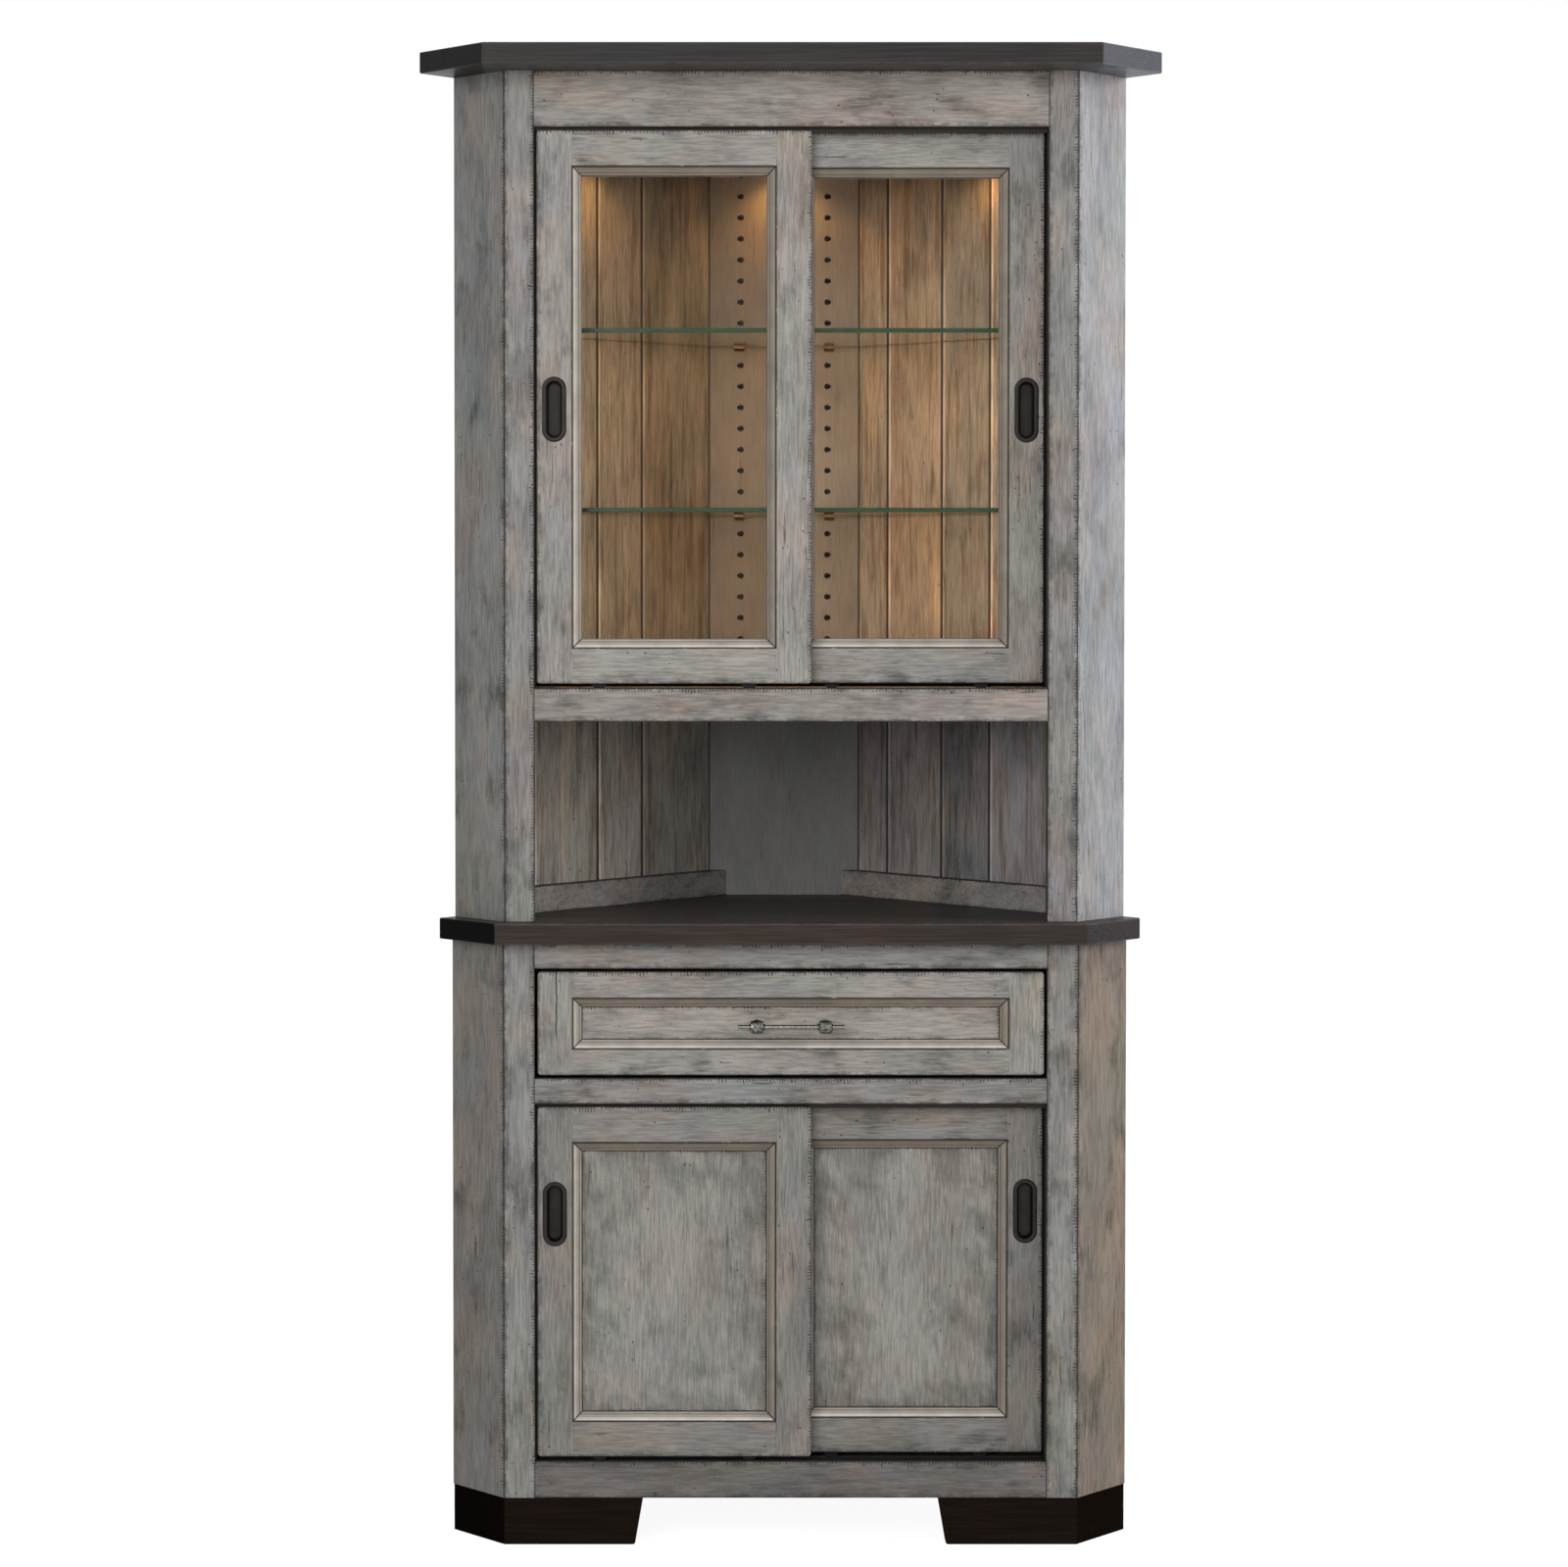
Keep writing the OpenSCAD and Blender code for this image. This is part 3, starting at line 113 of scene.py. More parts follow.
sheet = bmesh.new()
bmesh.ops.create_grid(sheet, x_segments=2, y_segments=2, size=14)
floor = stand("floor", bpy.data.meshes.new("floor"))
sheet.to_mesh(floor.data)
sheet.free()
floor_paint = bpy.data.materials.new("floor_paint")
floor_paint.use_nodes = True
tree = floor_paint.node_tree
tree.nodes.clear()
glow = maths(tree, "MULTIPLY", seen_directly(tree), 0.93)
share = maths(tree, "SUBTRACT", 0.50, maths(tree, "MULTIPLY", seen_directly(tree), 0.22))
ground = place(tree, "ShaderNodeBsdfDiffuse",
               {"Color": place(tree, "ShaderNodeCombineColor",
                               {"Red": share, "Green": share, "Blue": share}).outputs[0]})
lit = place(tree, "ShaderNodeEmission", {"Color": (1, 1, 1, 1), "Strength": glow})
both = place(tree, "ShaderNodeAddShader", {0: ground.outputs[0], 1: lit.outputs[0]})
place(tree, "ShaderNodeOutputMaterial", {"Surface": both.outputs[0]})
floor.data.materials.append(floor_paint)

for name, where, size, power in (
    ("key_lamp", (4.35, -1.2, 2.3), 2.2, 150),
    ("fill_lamp", (-1.9, -4.6, 2.5), 3.0, 96),
):
    lamp = bpy.data.lights.new(name, "AREA")
    lamp.size = size
    lamp.energy = power
    holder = stand(name, lamp)
    holder.location = where
    aim = Vector((0, 0, 1.05)) - holder.location
    holder.rotation_euler = aim.to_track_quat("-Z", "Y").to_euler()


# The face frames and the angled return boards of hutch and base.
# They are solid wood, mortised and glued, painted with a thin grey wash that was brushed along the
# grain, wiped with charcoal glaze, and rasped along the edges before that.
def new_group(name, takes, gives):
    """A shader node group, its inputs as name, kind and default, and its outputs."""
    tree = bpy.data.node_groups.new(name, "ShaderNodeTree")
    for label, kind, value in takes:
        socket = tree.interface.new_socket(label, in_out="INPUT", socket_type="NodeSocket" + kind)
        if value is not None:
            socket.default_value = value
    for label, kind in gives:
        tree.interface.new_socket(label, in_out="OUTPUT", socket_type="NodeSocket" + kind)
    return tree, tree.nodes.new("NodeGroupInput").outputs, tree.nodes.new("NodeGroupOutput").inputs


def stretch(tree, vector, factors):
    links = {0: vector, 1: factors}
    return place(tree, "ShaderNodeVectorMath", links, operation="MULTIPLY").outputs[0]


def shift(tree, vector, step):
    return place(tree, "ShaderNodeVectorMath", {0: vector, 1: step}, operation="ADD").outputs[0]


def noise(tree, vector, scale, detail=2.0, rough=0.55):
    links = {"Vector": vector, "Scale": scale, "Detail": detail, "Roughness": rough}
    return place(tree, "ShaderNodeTexNoise", links).outputs["Fac"]


def band(tree, value, low, high):
    """0 below low and 1 above high, smooth between them; low may be the larger one."""
    links = {"Value": value, "From Min": low, "From Max": high}
    return place(tree, "ShaderNodeMapRange", links, interpolation_type="SMOOTHSTEP").outputs[0]


def mixed(tree, factor, first, second, mode="MIX"):
    links = {0: factor, 6: first, 7: second}
    made = place(tree, "ShaderNodeMix", links, data_type="RGBA", blend_type=mode,
                 clamp_factor=True)
    return made.outputs[2]


def gained(tree, colour, factor):
    """A colour times a number that changes over the surface."""
    links = {0: colour, "Scale": factor}
    return place(tree, "ShaderNodeVectorMath", links, operation="SCALE").outputs[0]


def tinted(tree, colour, mask, tint):
    return mixed(tree, mask, colour, mixed(tree, 1.0, colour, (*tint, 1), "MULTIPLY"))


wash, takes, gives = new_group(
    "brushed_wash",
    [("Grain", "Vector", None), ("Tone", "Color", (0.27, 0.26, 0.24, 1)), ("Patches", "Float", 1.0),
     ("Glaze", "Float", 1.0), ("Seed", "Float", 0.0)],
    [("Color", "Color"), ("Roughness", "Float"), ("Height", "Float")],
)
step = place(wash, "ShaderNodeCombineXYZ", dict.fromkeys(range(3), takes["Seed"]))
grain = shift(wash, takes["Grain"], stretch(wash, step.outputs[0], (13.1, 7.7, 5.3)))
cloud = stretch(wash, grain, (1, 1, 0.4))
colour = takes["Tone"]
for offset, scale, tint in (
    (3.0, 13.0, (0.95, 0.98, 1.03)),
    (7.0, 17.0, (1.09, 0.99, 0.935)),
    (11.0, 12.0, (0.95, 0.985, 0.945)),
):
    moved = shift(wash, cloud, (offset, offset, offset))
    patch = band(wash, noise(wash, moved, scale, 3.0), 0.46, 0.66)
    colour = tinted(wash, colour, maths(wash, "MULTIPLY", patch, takes["Patches"]), tint)
fine = band(wash, noise(wash, stretch(wash, grain, (1, 1, 0.08)), 360.0, 2.0, 0.7), 0.34, 0.66)
broad = band(wash, noise(wash, stretch(wash, grain, (1, 1, 0.17)), 110.0, 3.0), 0.3, 0.7)
soft = band(wash, noise(wash, cloud, 19.0, 4.0), 0.34, 0.66)
streaks = maths(wash, "MULTIPLY_ADD", fine, 0.36, maths(wash, "MULTIPLY_ADD", broad, 0.12, 0.63))
streaks = maths(wash, "MULTIPLY_ADD", soft, 0.24, streaks)
colour = gained(wash, colour, streaks)
smudge = band(wash, noise(wash, stretch(wash, grain, (1, 1, 0.50)), 24.0, 4.0, 0.6), 0.50, 0.74)
strokes = band(wash, noise(wash, stretch(wash, grain, (1, 1, 0.07)), 260.0, 2.0, 0.7), 0.44, 0.60)
dirt = maths(wash, "MULTIPLY", smudge, maths(wash, "MULTIPLY_ADD", strokes, 0.5, 0.5))
dirt = maths(wash, "MULTIPLY", dirt, takes["Glaze"], clamp=True)
colour = tinted(wash, colour, dirt, (0.42, 0.43, 0.42))
region = band(wash, noise(wash, cloud, 22.0, 2.0), 0.51, 0.59)
cracks = band(wash, noise(wash, stretch(wash, grain, (1, 1, 0.05)), 230.0, 2.0), 0.64, 0.70)
cells = place(wash, "ShaderNodeTexVoronoi",
              {"Vector": stretch(wash, grain, (1, 1, 0.55)), "Scale": 135.0})
chosen = maths(wash, "GREATER_THAN",
               place(wash, "ShaderNodeSeparateColor", {0: cells.outputs["Color"]}).outputs[0], 0.72)
holes = maths(wash, "MULTIPLY", band(wash, cells.outputs["Distance"], 0.17, 0.09), chosen)
dents = maths(wash, "MAXIMUM", holes, maths(wash, "MULTIPLY", cracks, 0.7))
marks = maths(wash, "MULTIPLY", dents, region)
dark_glaze = (0.030, 0.027, 0.024, 1)
colour = mixed(wash, maths(wash, "MULTIPLY", marks, 0.85), colour, dark_glaze)
wash.links.new(colour, gives["Color"])
wash.links.new(maths(wash, "MULTIPLY_ADD", fine, 0.12, 0.44), gives["Roughness"])
relief = maths(wash, "MULTIPLY_ADD", fine, 0.35, maths(wash, "MULTIPLY", broad, 0.5))
relief = maths(wash, "SUBTRACT", relief, maths(wash, "MULTIPLY", marks, 2.0))
wash.links.new(relief, gives["Height"])

# Glaze left in rasp marks along an edge, from the distance to that edge
rasp, takes, gives = new_group(
    "rasped_edge",
    [("Color", "Color", None), ("Height", "Float", 0.0), ("Place", "Vector", None),
     ("Distance", "Float", 0.0), ("Reach", "Float", 0.0036)],
    [("Color", "Color"), ("Height", "Float")],
)
here = takes["Place"]
uneven = noise(rasp, here, 38.0, 3.0)
crumbs = noise(rasp, here, 520.0, 2.0)
reach = maths(rasp, "MULTIPLY", takes["Reach"], maths(rasp, "MULTIPLY_ADD", uneven, 2.2, -0.40))
worn = maths(rasp, "MULTIPLY_ADD", maths(rasp, "SUBTRACT", crumbs, 0.5), 0.0028, takes["Distance"])
line = band(rasp, worn, maths(rasp, "MULTIPLY", reach, 0.8), maths(rasp, "MULTIPLY", reach, 0.2))
axes = place(rasp, "ShaderNodeSeparateXYZ", {0: here}).outputs
along = maths(rasp, "ADD", maths(rasp, "ADD", axes[0], axes[2]), takes["Distance"])
tooth_pitch = 0.0044
teeth = maths(rasp, "MULTIPLY_ADD", noise(rasp, here, 60.0, 2.0), 2.0,
              maths(rasp, "DIVIDE", along, tooth_pitch))
tooth = maths(rasp, "ABSOLUTE", maths(rasp, "SUBTRACT", maths(rasp, "FRACT", teeth), 0.5))
stroke = maths(rasp, "MULTIPLY_ADD", noise(rasp, here, 110.0, 3.0), 9.0, -2.6)
long_reach = maths(rasp, "MULTIPLY", reach, stroke)
ticks = maths(rasp, "MULTIPLY", band(rasp, tooth, 0.24, 0.16),
              band(rasp, takes["Distance"], long_reach, maths(rasp, "MULTIPLY", long_reach, 0.5)))
mask = maths(rasp, "MAXIMUM", maths(rasp, "MULTIPLY", line, 0.88),
             maths(rasp, "MULTIPLY", ticks, 0.80))
smoky = maths(rasp, "MULTIPLY", band(rasp, takes["Distance"], 0.016, 0.0),
              band(rasp, noise(rasp, here, 24.0, 3.0), 0.44, 0.66))
darkened = tinted(rasp, takes["Color"], maths(rasp, "MULTIPLY", smoky, 0.58), (0.46, 0.46, 0.45))
rasp.links.new(mixed(rasp, mask, darkened, (0.026, 0.024, 0.022, 1)), gives["Color"])
rasp.links.new(maths(rasp, "MULTIPLY_ADD", mask, -1.6, takes["Height"]), gives["Height"])


class Finish:
    """A material being made: its node tree, object coordinates and shader."""

    def __init__(self, name, **shine):
        self.material = bpy.data.materials.new(name)
        self.material.use_nodes = True
        self.tree = self.material.node_tree
        self.shader = self.tree.nodes["Principled BSDF"]
        self.place = self.tree.nodes.new("ShaderNodeTexCoord").outputs["Object"]
        axes = place(self.tree, "ShaderNodeSeparateXYZ", {0: self.place}).outputs
        self.x, self.y, self.z = axes[0], axes[1], axes[2]
        for label, value in {"Specular_IOR_Level": 0.15, **shine}.items():
            self.shader.inputs[label.replace("_", " ")].default_value = value

    def use(self, group, **links):
        named = {label.replace("_", " "): value for label, value in links.items()}
        return place(self.tree, "ShaderNodeGroup", named, node_tree=group).outputs

    def turned(self, order):
        """Object coordinates with their axes in another order, the grain along the last."""
        axes = [{"x": self.x, "y": self.y, "z": self.z}[letter] for letter in order]
        return place(self.tree, "ShaderNodeCombineXYZ", enumerate(axes)).outputs[0]

    def line(self, value, half, centre=0.0):
        """Distance from the two lines at half either side of a centre."""
        from_centre = maths(self.tree, "ABSOLUTE", maths(self.tree, "SUBTRACT", value, centre))
        return maths(self.tree, "ABSOLUTE", maths(self.tree, "SUBTRACT", from_centre, half))

    def nearest(self, *distances):
        least = distances[0]
        for other in distances[1:]:
            least = maths(self.tree, "MINIMUM", least, other)
        return least

    def show(self, colour, rough=None, height=None, bump=0.0005):
        self.tree.links.new(colour, self.shader.inputs["Base Color"])
        if rough is not None:
            self.tree.links.new(rough, self.shader.inputs["Roughness"])
        if height is not None:
            links = {"Strength": 0.6, "Distance": bump, "Height": height}
            lumps = place(self.tree, "ShaderNodeBump", links)
            self.tree.links.new(lumps.outputs[0], self.shader.inputs["Normal"])
        return self.material


def coat(material, slot, *nodes, ease=0.0):
    """Gives CAD nodes their finish, and eases their sharp arrises where that is asked."""
    for name in nodes:
        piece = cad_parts[name]
        piece.data.materials.clear()
        piece.data.materials.append(material)
        if ease:
            weld = piece.modifiers.new("weld", "WELD")
            weld.merge_threshold = 0.00002
            round_over = piece.modifiers.new("ease", "BEVEL")
            round_over.width = ease
            round_over.segments = 2
            round_over.limit_method = "ANGLE"
            round_over.angle_limit = math.radians(35)


# Half the width between the stiles, and of the face up to the corner with the return boards.
# The rails are given by their middle heights and half their widths.
face_x = 0.361
hutch_corner_x = 0.4029
base_corner_x = 0.405
for level, corner, seed, tone_of, z_rails in (
    ("hutch", hutch_corner_x, 1.0,
     {"stiles": (0.322, 0.309, 0.298), "rails": (0.377, 0.341, 0.312),
      "left": (0.247, 0.244, 0.235), "right": (0.311, 0.308, 0.318)},
     ((1.188, 0.0235), (2.038, 0.0395))),
    ("base", base_corner_x, 5.0,
     {"stiles": (0.324, 0.314, 0.298), "rails": (0.313, 0.304, 0.292),
      "left": (0.229, 0.218, 0.203), "right": (0.218, 0.183, 0.151)},
     ((0.0925, 0.026), (0.6435, 0.018), (0.8345, 0.018))),
):
    paint = Finish(level + "_stile_paint")
    stile = paint.use(wash, Grain=paint.place, Tone=(*tone_of["stiles"], 1), Seed=seed)
    edge = paint.nearest(paint.line(paint.x, face_x), paint.line(paint.x, corner))
    edged = paint.use(rasp, Color=stile["Color"], Height=stile["Height"], Place=paint.place,
                      Distance=edge)
    coat(paint.show(edged["Color"], stile["Roughness"], edged["Height"]), "washed_wood",
         level + "_stiles", ease=0.0008)

    paint = Finish(level + "_rail_paint")
    rail = paint.use(wash, Grain=paint.turned("zyx"), Tone=(*tone_of["rails"], 1), Seed=seed + 1)
    edge = paint.nearest(*(paint.line(paint.z, half, centre) for centre, half in z_rails))
    # Painted shade: the rails are tinted darker below 0.15 m, towards the floor
    low_shade = band(paint.tree, paint.z, 0.15, 0.12)
    darkened = tinted(paint.tree, rail["Color"], low_shade, (0.63, 0.60, 0.58))
    edged = paint.use(rasp, Color=darkened, Height=rail["Height"], Place=paint.place, Distance=edge)
    coat(paint.show(edged["Color"], rail["Roughness"], edged["Height"]), "washed_wood",
         level + "_rails", ease=0.0008)

    for side, out in (("left", -1), ("right", 1)):
        paint = Finish(f"{level}_{side}_return_paint")
        glaze = 0.6 if (level, side) == ("hutch", "right") else 1.3
        board = paint.use(wash, Grain=paint.place, Tone=(*tone_of[side], 1), Glaze=glaze,
                          Seed=seed + 2 + out)
        across = maths(paint.tree, "MULTIPLY", paint.line(paint.x, corner), math.sqrt(2))
        edged = paint.use(rasp, Color=board["Color"], Height=board["Height"], Place=paint.place,
                          Distance=across)
        coat(paint.show(edged["Color"], board["Roughness"], edged["Height"]), "washed_wood",
             f"{level}_side_{side}", ease=0.0008)


# The planked walls, the centre panel and the boards above and below the glazed cabinet.
# The planks are tongue-and-groove with a V at each joint, in a thin tan wash that lets the grain
# show. The centre panel is plain board with two columns of drilled pin holes.
# Each wall line runs from its shoulder to the rear corner, the planks' inner face before it.
wall_shoulder = (0.482, -0.1105)
wall_length = 0.5035
plank_face_in = 0.026
cabinet_floor_z = (1.158, 1.168)

# Joints are given from the inner corner, tones from the shoulder inwards.
for side, out, joints, niche_lighting, tones in (
    ("left", -1, (0.360, 0.232, 0.141), (1.55, 1.60, 1.70),
     ((0.345, 0.280, 0.230), (0.280, 0.250, 0.210), (0.295, 0.260, 0.220),
      (0.235, 0.210, 0.175))),
    ("right", 1, (0.376, 0.258, 0.165, 0.057), (0.90, 0.97, 1.12),
     ((0.330, 0.285, 0.240), (0.345, 0.299, 0.258), (0.245, 0.222, 0.195),
      (0.360, 0.302, 0.250), (0.320, 0.280, 0.242))),
):
    stain = Finish(side + "_plank_stain")
    tree = stain.tree
    along = maths(tree, "SUBTRACT", stain.y, maths(tree, "MULTIPLY", stain.x, out))
    along = maths(tree, "ADD", along, wall_shoulder[0] - wall_shoulder[1])
    along = maths(tree, "DIVIDE", along, math.sqrt(2))
    inner_end = wall_length - plank_face_in * math.tan(math.radians(22.5))
    ramp = place(tree, "ShaderNodeValToRGB", {0: maths(tree, "DIVIDE", along, wall_length)})
    ramp.color_ramp.interpolation = "CONSTANT"
    ramp.color_ramp.elements[0].color = (*tones[0], 1)
    ramp.color_ramp.elements.remove(ramp.color_ramp.elements[1])
    for joint, tone in zip(joints, tones[1:]):
        stop = ramp.color_ramp.elements.new((inner_end - joint) / wall_length)
        stop.color = (*tone, 1)
    board = stain.use(wash, Grain=stain.place, Tone=ramp.outputs[0], Glaze=0.6, Seed=21.0 + out)
    streaks = noise(tree, stretch(tree, stain.place, (1, 1, 0.05)), 90.0, 5.0, 0.65)
    retinted = maths(tree, "MULTIPLY", band(tree, streaks, 0.50, 0.64), 0.65)
    browned = tinted(tree, board["Color"], retinted, (0.52, 0.41, 0.31))
    streaks = noise(tree, stretch(tree, stain.place, (1, 1, 0.08)), 60.0, 4.0)
    browned = tinted(tree, browned, band(tree, streaks, 0.52, 0.68), (1.24, 1.16, 1.04))
    past_wall = maths(tree, "ADD", maths(tree, "MULTIPLY", stain.x, out), stain.y)
    inside = band(tree, past_wall, sum(wall_shoulder) - 0.010, sum(wall_shoulder) - 0.016)
    glazed_zone = band(tree, stain.z, *cabinet_floor_z)
    # Painted light and shade on the same boards: below the cabinet floor the left wall is tinted
    # lighter and cooler and the right a little darker and cooler, inside the glazed cabinet the
    # boards are tinted warm as a painted glow of its lamps, and just under the ceiling they are
    # darker, a painted shade
    zones_lit_and_shaded = mixed(tree, glazed_zone, tinted(tree, browned, 1.0, niche_lighting),
                    tinted(tree, browned, 1.0, (0.85, 0.78, 0.69)))
    zones_lit_and_shaded = tinted(tree, zones_lit_and_shaded, band(tree, stain.z, 1.93, 1.99), (0.50, 0.46, 0.40))
    browned = mixed(tree, inside, browned, zones_lit_and_shaded)
    past_joint = [maths(tree, "SUBTRACT", along, inner_end - joint) for joint in joints]
    off_joint = stain.nearest(*(maths(tree, "ABSOLUTE", past) for past in past_joint))
    groove = maths(tree, "MULTIPLY", band(tree, off_joint, 0.0030, 0.0016), 0.95)
    colour = mixed(tree, groove, browned, dark_glaze)
    # Painted highlight: a lighter line beside each joint, where the V's bevel meets the light
    off_arris = stain.nearest(*(maths(tree, "ABSOLUTE", maths(tree, "ADD", past, 0.0042 * out))
                                for past in past_joint))
    arris = maths(tree, "MULTIPLY", band(tree, off_arris, 0.0024, 0.0012), 0.85)
    colour = tinted(tree, colour, arris, (1.9, 1.9, 1.95))
    coat(stain.show(colour, board["Roughness"], board["Height"]), "washed_plank",
         "hutch_planks_" + side)

panel_paint = Finish("centre_panel_paint")
tree = panel_paint.tree
board = panel_paint.use(wash, Grain=panel_paint.place, Tone=(0.240, 0.234, 0.228, 1),
                        Glaze=0.35, Seed=31.0)
panel_low, panel_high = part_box("hutch_center_panel")
in_holes = maths(tree, "MULTIPLY", maths(tree, "GREATER_THAN", panel_paint.y, panel_low.y + 0.0008),
                 maths(tree, "LESS_THAN", panel_paint.y, panel_high.y - 0.0005))
veil = noise(tree, stretch(tree, panel_paint.place, (1, 1, 0.7)), 9.0, 3.0)
veiled = gained(tree, (0.225, 0.221, 0.214), maths(tree, "MULTIPLY_ADD", veil, 0.9, 0.50))
calm = mixed(tree, 0.55, board["Color"], veiled)
# Painted light: inside the glazed cabinet the panel's inner face is tinted warm, a painted glow of
# the lamps, and its right half lighter and cooler
inner_face = band(tree, panel_paint.y, panel_low.y + 0.0020, panel_low.y + 0.0010)
glazed_zone = maths(tree, "MULTIPLY", inner_face, band(tree, panel_paint.z, *cabinet_floor_z))
retinted = tinted(tree, calm, glazed_zone, (0.77, 0.60, 0.44))
paler_side = maths(tree, "MULTIPLY", glazed_zone, band(tree, panel_paint.x, -0.01, 0.05))
retinted = tinted(tree, retinted, paler_side, (1.28, 1.36, 1.50))
corner_x = sum(wall_shoulder) - plank_face_in * math.sqrt(2) - panel_low.y
in_corner = band(tree, maths(tree, "ABSOLUTE", panel_paint.x), corner_x - 0.0040, corner_x - 0.0015)
retinted = tinted(tree, retinted, maths(tree, "MULTIPLY", inner_face, in_corner), (0.20, 0.19, 0.18))
pin_column_x = 0.06545
pin_pitch = 0.032
lowest_pin_z = 1.2735
up_from = maths(tree, "SUBTRACT", panel_paint.z, lowest_pin_z - pin_pitch / 2)
row = maths(tree, "FRACT", maths(tree, "DIVIDE", up_from, pin_pitch))
off_row = maths(tree, "MULTIPLY", maths(tree, "SUBTRACT", row, 0.5), pin_pitch)
off_column = maths(tree, "SUBTRACT", maths(tree, "ABSOLUTE", panel_paint.x), pin_column_x)
round_hole = place(tree, "ShaderNodeCombineXYZ", {0: off_row, 1: off_column}).outputs[0]
off_hole = place(tree, "ShaderNodeVectorMath", {0: round_hole}, operation="LENGTH").outputs["Value"]
pin_rows = maths(tree, "MULTIPLY", inner_face, band(tree, panel_paint.z, 1.24, 1.25))
# Painted shade: every surface inside the panel's thickness, the walls of the pin holes among them,
# is near black, and a dark ring round each hole's mouth widens the dark
hole_shade_ring = maths(tree, "MULTIPLY", band(tree, off_hole, 0.0048, 0.0038), pin_rows)
drilled = mixed(tree, maths(tree, "MAXIMUM", in_holes, hole_shade_ring), retinted, (0.008, 0.005, 0.004, 1))
coat(panel_paint.show(drilled, board["Roughness"], board["Height"], 0.0002), "washed_plank",
     "hutch_center_panel")

deck_paint = Finish("cabinet_deck_paint")
board = deck_paint.use(wash, Grain=deck_paint.turned("zyx"), Tone=(0.245, 0.225, 0.200, 1),
                       Seed=33.0)
coat(deck_paint.show(board["Color"], board["Roughness"], board["Height"]), "washed_plank",
     "hutch_ceiling", "hutch_floor")

rail_paint = Finish("niche_rail_paint")
board = rail_paint.use(wash, Grain=rail_paint.turned("zyx"), Tone=(0.305, 0.280, 0.262, 1),
                       Seed=35.0)
niche_low, niche_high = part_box("niche_rails")
edge = rail_paint.line(rail_paint.z, (niche_high.z - niche_low.z) / 2,
                       (niche_low.z + niche_high.z) / 2)
edged = rail_paint.use(rasp, Color=board["Color"], Height=board["Height"], Place=rail_paint.place,
                       Distance=edge, Reach=0.0016)
coat(rail_paint.show(edged["Color"], board["Roughness"], edged["Height"]), "washed_wood",
     "niche_rails")


# The crown and the counter, and the feet.
# Crown and counter are thick boards stained charcoal brown under a satin lacquer, their front
# arrises eased;
# a lighter line along the long edges is partly rubbed wear and partly a painted highlight. The feet
# are stained nearly black.
stained, takes, gives = new_group(
    "dark_stain",
    [("Grain", "Vector", None), ("Tone", "Color", None), ("Edge", "Float", 1.0),
     ("Seed", "Float", 0.0)],
    [("Color", "Color"), ("Roughness", "Float"), ("Height", "Float")],
)
step = place(stained, "ShaderNodeCombineXYZ", dict.fromkeys(range(3), takes["Seed"]))
grain = shift(stained, takes["Grain"], step.outputs[0])
pores = band(stained, noise(stained, stretch(stained, grain, (1, 1, 0.03)), 380.0, 3.0), 0.35, 0.7)
cloud = band(stained, noise(stained, stretch(stained, grain, (1, 1, 0.2)), 12.0, 4.0), 0.35, 0.68)
colour = tinted(stained, takes["Tone"], cloud, (1.35, 1.12, 1.05))
colour = gained(stained, colour, maths(stained, "MULTIPLY_ADD", pores, 0.35, 0.80))
flecks = band(stained, noise(stained, grain, 700.0, 1.0), 0.72, 0.78)
colour = mixed(stained, maths(stained, "MULTIPLY", flecks, 0.25), colour, (0.16, 0.15, 0.14, 1))
broken = maths(stained, "MULTIPLY_ADD", noise(stained, grain, 60.0, 3.0), 1.1, -0.15, clamp=True)
# Partly rubbed wear and partly a painted highlight: a lighter line along the long edges
rub_and_highlight = maths(stained, "MULTIPLY", band(stained, takes["Edge"], 0.0028, 0.0010), broken)
colour = mixed(stained, rub_and_highlight, colour, (0.15, 0.145, 0.140, 1))
stained.links.new(colour, gives["Color"])
stained.links.new(maths(stained, "MULTIPLY_ADD", cloud, 0.10, 0.34), gives["Roughness"])
stained.links.new(pores, gives["Height"])

